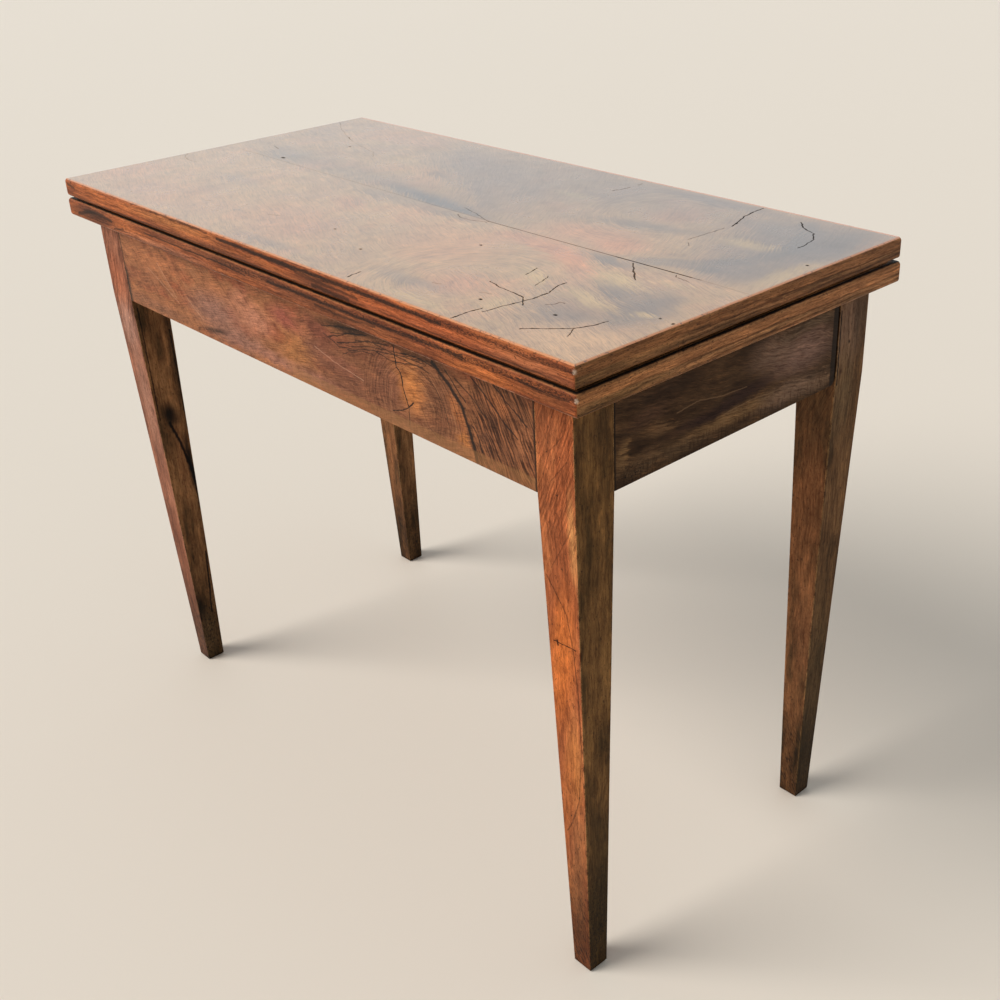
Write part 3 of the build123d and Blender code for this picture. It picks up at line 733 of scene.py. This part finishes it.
def leg_paint(name, seed, tints, side_tints_with_shade, blotches, wounds):
    """Solid walnut down a leg. Blotches and wounds are each on a face: front takes x and z, side y and z."""
    paint = Paint(name, leg_grain)
    x, y, z = paint.place.split()
    normal_x, normal_y, _ = paint.normal.split()
    faces = {
        "front": (paint.join(x, z), normal_y.step(*front_normal_fade)),
        "side": (paint.join(y, z), normal_x.step(*side_normal_fade)),
    }
    moved = paint.vector("ADD", paint.place, (seed, seed, seed))
    wavy = moved.shaken("wave", flat=False)
    broad = wavy.noise("broad")
    mottle = wavy.noise("mottle")
    streak = wavy.noise("streak")
    fine = wavy.noise("fine")
    speck = moved.noise("speck")
    front_tone = paint.ramp(broad, even_shares, tints)
    # the faces towards +x take the side tints, darker partly as painted shade
    side_tone_with_shade = paint.ramp(broad, even_shares, side_tints_with_shade)
    paint.colour = paint.mix(faces["side"][1], front_tone, side_tone_with_shade)
    for face, *blotch in blotches:
        place, mask = faces[face]
        paint.patches(place.shaken("blotch path"), (blotch,), mask=mask)
    paint.figure(mottle, 0.42, 0.22)
    paint.figure(streak, 0.5, 0.26, 0.11)
    leaning = paint.join(x - z * grain_lean, y, z * grain_lean_stretch).noise("leaning")
    curling = faces["front"][1] * (z + mottle * curl_waver).step(*curl_fade)
    paint.figure(leaning, curling * 0.55, curling * 0.4, 0.11)
    paint.shade(fine.step(0.5, 0.64) * 0.5)
    paint.lay(speck.step(0.6, 0.67) * 0.75, soot)
    for face, *wound in wounds:
        place, mask = faces[face]
        thinning = place.noise("wound width") * 1.7 + 0.15
        paint.lay(place.shaken("wound path").lines((wound,), thinning) * mask, black)

    # worn arrises, bruised black here and there, a dirty foot, and painted shade in the corners
    arris = paint.arris(arris_wear_radius)
    paint.lay(arris * mottle.step(0.6, 0.44) * 0.65, straw_wood)
    bruised = paint.arris(bruise_radius, 0.995, 0.93) * moved.noise("bruise").step(0.52, 0.6)
    paint.lay(bruised * 0.85, soot)
    grime_and_shade = (z + mottle * foot_grime_waver).step(*foot_grime_fade)
    paint.shade(grime_and_shade * 0.95, (0.36, 0.38, 0.36))
    scuffs = paint.join(x + z * scuff_lean, y, z).noise("scuff")
    paint.lay(scuffs.step(0.52, 0.6) * grime_and_shade * 0.85, soot)
    # painted shade in the corners, under the rails and the leaf
    leg_corner_shade = paint.shade_in_corners(leg_corner_reach)
    paint.lay(leg_corner_shade * 0.85, soot)
    height = streak * 0.5 + fine * 0.5
    roughness = streak * 0.2 + 0.4
    return paint.finish(roughness, height, 0.3, Specular_IOR_Level=(1 - leg_corner_shade) * 0.05)


def baize_cloth():
    paint = Paint("baize", baize_grain)
    fuzz = paint.place.noise("fuzz")
    faded = paint.place.noise("faded")
    paint.colour = paint.mix(faded.step(0.35, 0.7), srgb(36, 84, 50), srgb(60, 104, 62))
    paint.lay(fuzz.step(0.4, 0.7) * 0.35, srgb(96, 134, 88))
    return paint.finish(fuzz * 0.1 + 0.85, fuzz, 0.4, Specular_IOR_Level=0.2, Sheen_Weight=0.4,
                        Sheen_Roughness=0.5)


def metal(name, bright, dull):
    paint = Paint(name, metal_grain)
    stain_and_shadow = paint.place.noise("stain_and_shadow")
    scratch = paint.place.noise("scratch")
    paint.colour = paint.mix(stain_and_shadow.step(0.4, 0.65), bright, dull)
    roughness = stain_and_shadow * 0.3 + scratch * 0.1 + 0.2
    return paint.finish(roughness, scratch, 0.05, Metallic=1)


# Patches: middle, half sizes, tint, strength, and turn where there is one.
# Lines: half width, depth and points. Spots: middle, half length and half width.
top_patches = (
    (-300, -175, 190, 44, rose, 0.3),
    (-432, -150, 30, 62, rose, 0.4),
    (-330, 187, 62, 28, rose, 0.4, -20),
    (-277, -88, 52, 15, ash, 0.4),
    (-400, 120, 60, 30, tan, 0.6, -30),
    (-20, 110, 190, 66, (0.3, 0.16, 0.096), 0.5, -22),
    (-40, 105, 170, 46, ash, 0.36, -28),
    (48, 105, 42, 20, slate, 0.24, -40),
    (-97, 82, 26, 9, slate, 0.4, -20),
    (20, 52, 70, 14, ash, 0.4, -30),
    (-70, -150, 96, 52, rose, 0.5, -20),
    (-82, -63, 38, 20, rose, 0.6, -20),
    (-77, -53, 22, 7, slate, 0.25, -25),
    (60, -110, 60, 40, brown, 0.25),
    (130, -90, 80, 58, (0.53, 0.24, 0.09), 0.7),
    (150, 60, 70, 26, brown, 0.3, -20),
    (230, 30, 74, 34, amber, 0.6),
    (268, 18, 30, 24, amber, 0.6, 30),
    (233, 135, 36, 28, rose, 0.6),
    (230, 207, 105, 15, ash, 0.7),
    (246, -36, 66, 19, amber, 0.9, -24),
    (195, -27, 64, 12, rose, 0.8, -6),
    (233, -160, 44, 34, rose, 0.75),
    (195, -186, 62, 11, ash, 0.5),
    (-12, -208, 74, 9, ash, 0.4),
    (90, 129, 30, 10, straw, 0.85),
    (-190, 105, 40, 14, straw, 0.35),
    (275, -104, 44, 9, straw, 0.8, -28),
    (243, -215, 66, 8, straw, 0.6),
    (380, 130, 66, 110, ash, 0.8),
    (430, 130, 34, 120, ash, 0.75),
    (424, 172, 44, 66, slate, 0.42),
    (374, -120, 74, 100, brown, 0.6),
    (362, 110, 34, 15, straw, 0.75),
    (340, -55, 38, 19, straw, 0.95, -15),
    (358, -112, 44, 11, straw, 0.85, -15),
    (303, -178, 15, 28, straw, 0.6),
    (388, -33, 25, 10, straw, 0.6),
    (296, -20, 36, 12, slate, 0.7, -10),
    (363, -82, 34, 11, slate, 0.55, -28),
    (413, -100, 26, 56, slate, 0.62, 12),
    (372, -160, 34, 24, slate, 0.42),
    (243, 92, 74, 15, slate, 0.5, 12),
    (400, 34, 36, 40, ash, 0.8, 30),
    (340, 168, 44, 24, ash, 0.5),
    (420, -196, 60, 40, (0.66, 0.37, 0.165), 0.75, 20),
    (448, 60, 14, 52, straw, 0.7),
    (418, -112, 11, 8, straw, 0.8),
    (90, 176, 320, 90, ash, 0.55),
    (-158, -166, 6, 4.5, slate, 0.6),
    (-335, 18, 56, 26, slate, 0.42),
    (-160, 24, 280, 34, slate, 0.34, -3),
    (-40, -18, 120, 14, slate, 0.35),
    (55, -20, 46, 9, slate, 0.35),
)
top_veins = (
    (16, 0.42, 363, 200, 390, 170, 405, 130, 396, 70, 362, 30, 320, 0),
    (18, 0.5, 318, 0, 346, 20, 384, 22),
)
top_cracks = (
    (1.6, 1, 301.5, -226, 300.5, -208, 302.5, -190),
    (1.6, 1, 310.5, -196, 312, -178, 315.5, -158, 318, -143, 317, -123, 310.5, -108, 308, -93),
    (1.5, 1, 252, -138, 268, -142, 288, -144, 308, -147, 324, -162),
    (1.6, 1, 365.5, -203, 388, -183, 400.5, -170.5, 408, -153, 409.5, -140.5),
    (1.2, 0.9, 400.5, -173, 409.5, -188),
    (1.7, 0.9, 315.5, -10.5, 328, -23, 338, -33, 351.5, -44.5),
    (1.2, 1, 255.5, -80.5, 259, -90.5, 263, -102),
    (1, 0.9, 282, -90.5, 288, -103, 292, -118),
    (1, 0.8, 338, -148, 343, -140.5, 343, -134, 349, -134),
    (1.6, 1, 134.5, -202, 138, -219.5),
    (1.8, 1, 290.5, 221, 291.5, 202, 295.5, 182, 303, 164.5, 308, 147),
    (1, 0.8, 306.5, 137, 305.5, 112, 304, 82),
    (0.9, 0.7, 312, 74, 318, 67),
    (1.5, 0.95, 353, 204.5, 368, 189.5, 388, 179.5, 399, 164.5, 404, 147, 405, 132),
    (1.2, 0.8, 118, 213, 119, 205),
    (1.5, 0.8, 119, 192, 117, 178, 113, 168),
    (0.9, 0.8, 99.5, -8, 63, 4.5, 36, 11),
    (0.9, 0.8, 99.5, -10.5, 85.5, -15.5, 65.5, -18, 52, -12),
    (1, 0.8, 370.5, -8, 374, -14, 393, -17),
    (0.6, 0.5, -457, 188, -417, 162, -359.5, 134.5, -332, 123, -262, 104.5, -242, 89.5),
    (1, 0.9, -363, 137, -350, 130),
    (1, 0.9, -399.5, 41, -381, 34.5),
    (0.8, 0.5, -457, -58, -442, -70.5, -422, -77, -402, -75.5),
    (1.2, 0.7, -112, -150.5, -98, -144),
    (1.2, 0.5, 213, -176, 223, -173),
    (1.2, 0.5, 268, -165, 280, -160),
)
top_seams = (
    (0.75, 0.9, 98, -7, 398, -5.5),
    (1.2, 1, 288, -6, 386, -5.5),
    (0.6, 0.35, 398, -5.5, 456, -7),
    (0.7, 0.35, -420, 2, 98, -6),
)
top_spots = (
    (-332, 11, 4.4, 2.4),
    (-314.5, 104.5, 3.6, 1),
    (283.5, -176.5, 2.6, 1.8),
    (364, -159.5, 2.4, 1.8),
    (-6, -134, 2.4, 1.2),
    (74.5, -158.5, 2, 1.6),
    (158, -69, 2.2, 1.4),
    (438, -105.5, 1.6, 1.4),
    (444.5, 93, 1.8, 1.6),
    (455, -108, 1.6, 2.4),
)
rail_patches = (
    (-300, 647, 90, 18, (0.44, 0.162, 0.066), 0.7),
    (-335, 614, 60, 16, (0.25, 0.088, 0.04), 0.6),
    (-320, 582, 90, 9, (0.21, 0.09, 0.048), 0.7),
    (-20, 586, 150, 9, (0.33, 0.15, 0.108), 0.65),
    (40, 620, 34, 16, (0.2, 0.074, 0.048), 0.75),
    (-165, 610, 64, 24, mauve, 0.85),
    (-120, 590, 60, 14, mauve, 0.7, 6),
    (-78, 622, 42, 20, blush, 0.75),
    (-110, 640, 30, 12, blush, 0.45, 20),
    (-12, 640, 34, 15, crimson, 0.85, -8),
    (6, 606, 34, 22, ochre, 0.9, 10),
    (50, 643, 40, 14, (0.19, 0.055, 0.034), 0.8, -12),
    (100, 606, 84, 36, (0.165, 0.062, 0.034), 0.85),
    (130, 640, 60, 14, umber, 0.6),
    (84, 614, 36, 9, (0.27, 0.095, 0.056), 0.5, -8),
    (160, 600, 26, 22, (0.2, 0.075, 0.038), 0.7),
    (168, 620, 26, 44, (0.21, 0.08, 0.042), 0.85),
    (215, 582, 84, 15, (0.205, 0.086, 0.042), 0.85),
    (208, 624, 20, 26, ember, 0.82),
    (188, 642, 18, 12, (0.36, 0.135, 0.05), 0.7),
    (252, 620, 36, 50, (0.155, 0.062, 0.032), 0.75),
    (277, 618, 8, 22, (0.44, 0.15, 0.05), 0.85, 34),
    (284, 592, 9, 10, ember, 0.9),
    (345, 620, 62, 70, (0.105, 0.04, 0.02), 0.92),
    (336, 642, 18, 14, (0.4, 0.14, 0.052), 0.8, -40),
    (362, 618, 20, 22, (0.34, 0.13, 0.056), 0.7, -40),
    (370, 584, 20, 7, (0.24, 0.11, 0.04), 0.6),
    (318, 600, 10, 16, umber, 0.8),
)
rail_smears = (
    (110, 658, 66, 6, soot, 0.9, 3),
    (225, 658, 60, 4, soot, 0.7, -3),
    (-170, 586, 36, 4, soot, 0.75, 8),
)
rail_threads = (
    (0.9, 0.9, 42, 622, 76, 614, 127, 607),
    (1.6, 0.6, -318, 630, -290, 618, -250, 600),
    (1.6, 0.6, -292, 642, -276, 626, -256, 607),
    (1.6, 0.6, -228, 612, -212, 601, -196, 593),
)
rail_wisps = (
    (1, 0.8, 62, 642, 90, 634, 112, 638),
    (1.4, 0.8, 60, 650, 84, 655, 120, 661, 160, 663),
    (1, 0.7, 94, 627, 110, 634, 132, 640, 150, 641),
    (1.3, 0.8, 120, 649, 150, 654, 180, 651, 206, 648, 228, 650),
    (1.1, 0.8, 150, 646, 176, 643, 200, 645, 222, 650, 238, 646),
    (1.4, 0.9, 70, 640, 88, 646, 112, 654, 140, 659),
    (1.4, 0.9, 86, 638, 110, 644, 140, 653, 176, 658),
    (1.1, 0.8, 76, 646, 100, 651, 130, 657),
    (1, 0.8, 112, 640, 142, 648, 172, 652, 204, 655),
    (1.2, 0.8, 104, 634, 136, 643, 166, 648, 196, 652, 230, 654),
    (1.4, 0.8, 196, 655, 224, 658, 250, 654),
    (4.6, 1, 244, 659, 268, 642, 284, 627, 293, 606, 299, 590, 302, 574),
    (1.4, 0.9, 262, 657, 280, 640, 290, 632),
    (1, 0.7, 226, 644, 246, 634, 258, 616, 264, 594),
    (0.8, 0.6, 238, 636, 252, 618, 256, 598),
    (1, 0.7, 252, 648, 270, 630, 279, 606, 282, 586),
    (0.8, 0.5, 222, 606, 230, 590, 246, 580),
    (1.4, 0.9, 297, 612, 306, 602, 310, 588),
    (1.8, 0.8, 276, 652, 300, 640, 318, 626),
    (1.8, 0.9, 300, 660, 324, 644, 344, 628, 360, 618),
    (1.6, 0.9, 330, 662, 352, 648, 374, 634),
)
rail_cracks = (
    (1.5, 1, 184, 660, 186, 638, 192, 634, 195, 616, 201, 600, 209, 607),
    (0.9, 0.9, 201, 602, 200, 580),
    (1.1, 0.9, 201, 600, 190, 594, 173, 588),
)
end_rail_patches = (
    (-95, 650, 52, 10, (0.04, 0.021, 0.012), 0.85),
    (-115, 632, 30, 10, (0.085, 0.042, 0.026), 0.6),
    (-148, 604, 8, 15, fawn, 0.8),
    (-98, 614, 24, 7, (0.17, 0.092, 0.044), 0.75, -8),
    (-120, 593, 28, 8, (0.15, 0.082, 0.04), 0.7),
    (10, 591, 80, 8, fawn, 0.85),
    (-20, 605, 74, 7, (0.036, 0.017, 0.013), 0.9, 2),
    (30, 611, 42, 7, (0.036, 0.017, 0.013), 0.85),
    (108, 627, 56, 24, (0.24, 0.14, 0.105), 0.85),
    (66, 640, 40, 20, (0.21, 0.128, 0.088), 0.75),
    (120, 652, 50, 7, (0.14, 0.092, 0.056), 0.7),
    (143, 588, 22, 11, (0.22, 0.13, 0.075), 0.7),
    (94, 588, 52, 12, (0.26, 0.16, 0.105), 0.75),
    (-90, 585, 76, 8, (0.125, 0.074, 0.038), 0.65),
)
end_rail_threads = (
    (1, 0.6, -76, 622, -45, 624, -10, 618, 24, 616),
    (1, 0.5, 78, 597, 30, 600, -10, 598),
)

# Edges of the leaves, with patches as zones. Bands: level, half height, start, tint and strength.
upper_edge_zones = (
    (-345, 711, 90, 7, orange_wood, 0.8),
    (-190, 715, 110, 7, (0.5, 0.19, 0.064), 0.8),
    (110, 708, 60, 9, umber_wood, 0.8),
    (-120, 705, 150, 6, (0.21, 0.078, 0.036), 0.5),
    (250, 708, 150, 12, (0.5, 0.13, 0.044), 0.75),
    (400, 707, 60, 10, (0.4, 0.15, 0.07), 0.6),
)
upper_edge_bands = (
    (16.2, 3, -80, (0.036, 0.015, 0.009), 0.85),
    (6, 3, 20, (0.23, 0.07, 0.034), 0.5),
)
upper_edge_streaks_and_shadow = (
    (3, 0.8, -452, 716, -436, 714),
    (1.8, 0.7, -238, 720, -180, 719.5, -110, 719),
    (3, 0.9, -90, 717, -45, 717, 20, 715.5, 60, 715),
    (3.2, 0.9, 0, 717, 60, 717, 130, 716.5, 220, 716, 290, 715),
    (3, 0.7, 60, 713, 110, 711, 165, 709),
    (4.4, 0.8, 90, 706, 125, 705, 150, 704),
    # the last two lines: a painted shadow along the foot of the edge, above the gap between the leaves
    (0.9, 0.7, -430, 703.5, -300, 702.6, -120, 703, 60, 703),
    (1.8, 0.6, 200, 705, 300, 703.5, 440, 704),
)
lower_edge_zones = (
    (-395, 687, 60, 10, (0.06, 0.026, 0.016), 0.85),
    (-300, 686, 46, 9, orange_wood, 0.8),
    (-120, 692, 200, 6, (0.19, 0.066, 0.03), 0.7),
    (-230, 680, 130, 5, (0.42, 0.185, 0.105), 0.6),
    (120, 683, 170, 10, (0.19, 0.07, 0.034), 0.7),
    (355, 684, 26, 8, orange_wood, 0.9),
    (425, 684, 34, 8, umber_wood, 0.4),
)
lower_edge_bands_and_highlight = (
    (16.4, 3.4, -120, (0.03, 0.012, 0.008), 0.92),
    # a painted highlight along the foot arris of the lower leaf
    (1.2, 0.7, -700, (0.7, 0.43, 0.3), 0.6),
)
lower_edge_streaks = (
    (4, 0.8, -436, 681, -410, 688, -378, 692, -345, 688),
    (2, 0.7, -340, 680, -316, 684),
    (1.4, 0.9, -262, 690, -180, 689, -100, 690, -40, 687),
    (3, 0.8, 4, 690, 90, 691, 170, 690, 250, 691, 318, 692),
    (2.6, 0.7, 90, 686, 140, 684, 190, 687),
    (3.4, 0.8, 300, 693, 318, 689),
    (2.6, 0.7, 392, 691, 420, 688, 452, 689),
)

# Legs: blotches are patches and wounds are lines, each with its face first.
near_leg_blotches_and_shade = (
    ("front", 428, 540, 6, 48, (0.56, 0.27, 0.096), 0.7, 2),
    # painted shade under the leaf, at the top of the front face
    ("front", 396, 640, 20, 34, (0.23, 0.08, 0.034), 0.6),
    ("front", 420, 280, 12, 60, (0.56, 0.21, 0.06), 0.8),
    ("front", 408, 400, 19, 84, (0.6, 0.165, 0.038), 0.95, -6),
    ("front", 410, 250, 12, 70, (0.4, 0.125, 0.036), 0.8, -4),
    ("front", 417, 110, 12, 80, (0.33, 0.135, 0.055), 0.6),
    ("side", -180, 640, 40, 30, (0.08, 0.042, 0.017), 0.6),
    ("side", -180, 100, 30, 120, (0.056, 0.033, 0.012), 0.8),
    ("side", -182, 430, 16, 90, (0.2, 0.098, 0.034), 0.5),
    ("front", 394, 560, 14, 60, (0.26, 0.082, 0.032), 0.6),
    ("front", 424, 180, 16, 60, (0.23, 0.092, 0.036), 0.6),
)
near_leg_wounds = (
    ("front", 1.1, 0.55, 391, 489, 403, 474, 416, 456, 423, 422, 428, 371, 430, 304, 424, 236, 413, 202,
     405, 186),
    ("front", 0.8, 0.4, 398, 500, 410, 520, 424, 545),
    ("front", 0.8, 0.4, 392, 560, 402, 590, 424, 616),
    ("front", 0.8, 0.35, 392, 590, 402, 620, 420, 640),
    ("front", 0.8, 0.9, 427, 421, 412, 420, 397, 419),
    ("front", 1.6, 0.9, 402, 421, 403, 416),
    ("front", 0.9, 0.8, 420, 356, 421, 350),
)
left_leg_blotches = (
    ("front", -409, 532, 22, 38, (0.46, 0.25, 0.185), 0.75),
    ("front", -412, 600, 22, 36, (0.42, 0.13, 0.06), 0.6),
    ("front", -404, 430, 18, 90, (0.37, 0.185, 0.125), 0.7),
    ("front", -400, 160, 14, 120, (0.23, 0.078, 0.038), 0.6),
    ("side", -183, 402, 12, 20, soot, 1, 20),
    ("side", -166, 318, 6, 60, soot, 1, 4),
    ("side", -190, 90, 6, 26, soot, 0.9),
    ("side", -178, 330, 8, 60, (0.25, 0.115, 0.05), 0.6),
    ("side", -188, 80, 8, 20, soot, 0.8),
    ("side", -186, 40, 16, 44, (0.29, 0.165, 0.08), 0.75),
    ("side", -163, 480, 7, 110, (0.045, 0.024, 0.012), 0.75),
)
left_leg_wounds = (
    ("side", 1.4, 0.8, -201, 560, -200, 480, -199, 400),
    ("side", 2.2, 0.95, -199, 250, -196, 150, -193, 70),
    ("side", 2.2, 0.9, -167, 180, -171, 120, -174, 80),
    ("side", 3, 0.95, -186, 392, -176, 360, -165, 310, -162, 250),
    ("side", 1.6, 0.8, -163, 520, -162, 440, -161, 350),
)
swing_leg_blotches = (
    ("side", 188, 630, 26, 50, (0.2, 0.118, 0.078), 0.8),
    ("side", 186, 560, 20, 60, (0.2, 0.12, 0.058), 0.6),
    ("side", 190, 150, 30, 180, (0.085, 0.055, 0.024), 0.6),
    ("side", 210, 640, 14, 44, (0.075, 0.044, 0.027), 0.7),
    ("side", 191, 614, 2.2, 2.6, soot, 0.9),
    ("side", 180, 584, 2.4, 3.2, (0.06, 0.022, 0.012), 0.9),
    ("front", 408, 400, 20, 70, (0.3, 0.125, 0.052), 0.6),
    ("front", 410, 570, 34, 110, (0.1, 0.054, 0.024), 0.95),
    ("front", 412, 240, 16, 60, (0.12, 0.052, 0.024), 0.5),
)
swing_leg_wounds = (
    ("side", 1.3, 0.95, 174, 652, 174, 610, 174.5, 570),
    ("side", 1.2, 0.8, 173, 460, 173, 425),
    ("front", 1.3, 0.95, 430, 285, 430.5, 255),
)


def dress(name, material):
    """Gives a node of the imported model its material."""
    slots = nodes[name].data.materials
    slots.clear()
    slots.append(material)


veneer = top_veneer()
for name in ("upper_leaf_front_veneer", "upper_leaf_back_veneer"):
    dress(name, veneer)
upper_edge = (upper_leaf_z, 0, 0.82, upper_edge_zones, upper_edge_bands, upper_edge_streaks_and_shadow)
lower_edge = (lower_leaf_z, lower_leaf_reach, 1.25, lower_edge_zones, lower_edge_bands_and_highlight, lower_edge_streaks)
for leaf, seed, edge in (("upper_leaf", 0, upper_edge), ("lower_leaf", 40, lower_edge)):
    for board in ("front_board", "back_board"):
        name = f"{leaf}_{board}"
        dress(name, leaf_board(name, seed, *edge))
dress("front_rail_veneer", front_rail_paint())
for name, seed in (("right_end_rail_veneer", 0), ("left_end_rail_veneer", 900)):
    dress(name, end_rail_paint(name, seed))
for name, *looks in (
    ("front_right_leg", 0, red_walnut, olive_walnut, near_leg_blotches_and_shade, near_leg_wounds),
    ("front_left_leg", 310, pink_walnut, brown_walnut, left_leg_blotches, left_leg_wounds),
    ("rear_left_leg", 620, rust_walnut, brown_walnut, (), ()),
    ("swing_leg", 930, rust_walnut, grey_walnut, swing_leg_blotches, swing_leg_wounds),
):
    dress(name, leg_paint(name, *looks))
for names, *looks in (
    (("front_rail", "left_end_rail", "right_end_rail", "inner_rear_rail", "centre_brace", "spacer_blocks",
      "fixing_blocks", "corner_blocks"), srgb(196, 152, 100), srgb(150, 104, 62), (60, 4, 4)),
    (("fixed_rear_rail", "fly_rail"), srgb(186, 140, 98), srgb(146, 100, 66), (50, 3, 3)),
):
    for name in names:
        dress(name, plain_timber(name, *looks))
for names, *looks in (
    (("lower_hinge_plates", "upper_hinge_plates", "lower_hinge_screws", "upper_hinge_screws"),
     "brass", srgb(180, 142, 80), srgb(134, 100, 56)),
    (("knuckle_pin", "hinge_pins", "top_screws", "rear_rail_screws"),
     "steel", srgb(120, 114, 108), srgb(70, 56, 48)),
):
    material = metal(*looks)
    for name in names:
        dress(name, material)


def cuts(low, high):
    """Places across a cloth: close together along both edges, and a cell apart between them."""
    near = [low + step for step in cloth_edge_steps]
    count = round((high - low) / cloth_cell)
    between = [low + (high - low) * step / count for step in range(1, count)]
    far = [high - step for step in reversed(cloth_edge_steps)]
    return near + between + far


def cloth(name, replaced, body, glued_side):
    """A thin cloth glued down inside a leaf: pressed round along its edges and faintly uneven."""
    low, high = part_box(replaced)
    across = cuts(low.x, high.x)
    along = cuts(low.y, high.y)
    glued = low.z if glued_side == "under" else high.z
    thickness = high.z - low.z if glued_side == "under" else low.z - high.z
    points = []
    for raised in (0.0, 1.0):
        for x in across:
            for y in along:
                inset = min(x - low.x, high.x - x, y - low.y, high.y - y)
                pressed = max(0.0, 1.0 - inset / cloth_rounding) ** 2 * cloth_pressed_share
                uneven = (0.5 + 0.5 * noise.noise(Vector((x, y, glued)) / cloth_wave)) * cloth_uneven_share
                points.append((x, y, glued + thickness * raised * (1.0 - pressed - uneven)))
    row = len(along)
    layer = len(across) * row
    faces = []
    for column in range(len(across) - 1):
        for cell in range(row - 1):
            first = column * row + cell
            square = (first, first + row, first + row + 1, first + 1)
            faces.append(tuple(reversed(square)))
            faces.append(tuple(corner + layer for corner in square))
    rim = list(range(row - 1))
    rim += [column * row + row - 1 for column in range(len(across) - 1)]
    rim += [layer - 1 - cell for cell in range(row - 1)]
    rim += [column * row for column in range(len(across) - 1, 0, -1)]
    for corner, after in zip(rim, rim[1:] + rim[:1]):
        faces.append((after, corner, corner + layer, after + layer))
    mesh = bpy.data.meshes.new(name)
    mesh.from_pydata(points, [], faces)
    body_mesh = bmesh.new()
    body_mesh.from_mesh(mesh)
    bmesh.ops.recalc_face_normals(body_mesh, faces=body_mesh.faces)
    body_mesh.to_mesh(mesh)
    body_mesh.free()
    mesh.materials.append(baize_material)
    piece = bpy.data.objects.new(name, mesh)
    bpy.context.scene.collection.objects.link(piece)
    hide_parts(replaced)
    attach(piece, body)


baize_material = baize_cloth()
cloth("lower_cloth", "lower_baize", "frame", "under")
cloth("upper_cloth", "upper_baize", "upper_leaf", "over")


def floor_plane():
    mesh = bpy.data.meshes.new("floor")
    piece = bpy.data.objects.new("floor", mesh)
    bpy.context.scene.collection.objects.link(piece)
    half = floor_size / 2
    corners = [(-half, -half, 0.0), (half, -half, 0.0), (half, half, 0.0), (-half, half, 0.0)]
    mesh.from_pydata(corners, [], [(0, 1, 2, 3)])
    material = bpy.data.materials.new("floor")
    material.use_nodes = True
    shader = material.node_tree.nodes["Principled BSDF"]
    shader.inputs["Base Color"].default_value = (*floor_colour, 1.0)
    shader.inputs["Roughness"].default_value = floor_roughness
    mesh.materials.append(material)


def sky():
    world = bpy.data.worlds.new("sky")
    bpy.context.scene.world = world
    world.use_nodes = True
    tree = world.node_tree
    tree.nodes.clear()
    shaders = []
    for strength in (sky_fill, sky_seen):
        shader = tree.nodes.new("ShaderNodeBackground")
        shader.inputs["Color"].default_value = (*sky_colour, 1.0)
        shader.inputs["Strength"].default_value = strength
        shaders.append(shader)
    ray = tree.nodes.new("ShaderNodeLightPath")
    seen = tree.nodes.new("ShaderNodeMath")
    seen.operation = "MAXIMUM"
    tree.links.new(ray.outputs["Is Camera Ray"], seen.inputs[0])
    tree.links.new(ray.outputs["Is Glossy Ray"], seen.inputs[1])
    mix = tree.nodes.new("ShaderNodeMixShader")
    tree.links.new(seen.outputs[0], mix.inputs[0])
    tree.links.new(shaders[0].outputs[0], mix.inputs[1])
    tree.links.new(shaders[1].outputs[0], mix.inputs[2])
    output = tree.nodes.new("ShaderNodeOutputWorld")
    tree.links.new(mix.outputs[0], output.inputs[0])


def key_light():
    light = bpy.data.lights.new("key", "SUN")
    light.angle = math.radians(key_softness)
    light.energy = key_power
    light.color = key_colour
    lamp = bpy.data.objects.new("key", light)
    lamp.rotation_euler = Vector(key_from).to_track_quat("Z", "Y").to_euler()
    bpy.context.scene.collection.objects.link(lamp)


def camera():
    data = bpy.data.cameras.new("camera")
    data.sensor_width = camera_sensor
    data.lens = camera_lens
    data.shift_x, data.shift_y = camera_shift
    seer = bpy.data.objects.new("camera", data)
    up = -Vector(camera_down)
    back = -Vector(camera_forward)
    axes = Matrix((Vector(camera_right), up, back)).transposed()
    seer.matrix_world = Matrix.Translation(camera_place) @ axes.to_4x4()
    bpy.context.scene.collection.objects.link(seer)
    bpy.context.scene.camera = seer


floor_plane()
sky()
key_light()
camera()
bpy.context.scene.view_settings.view_transform = "Standard"
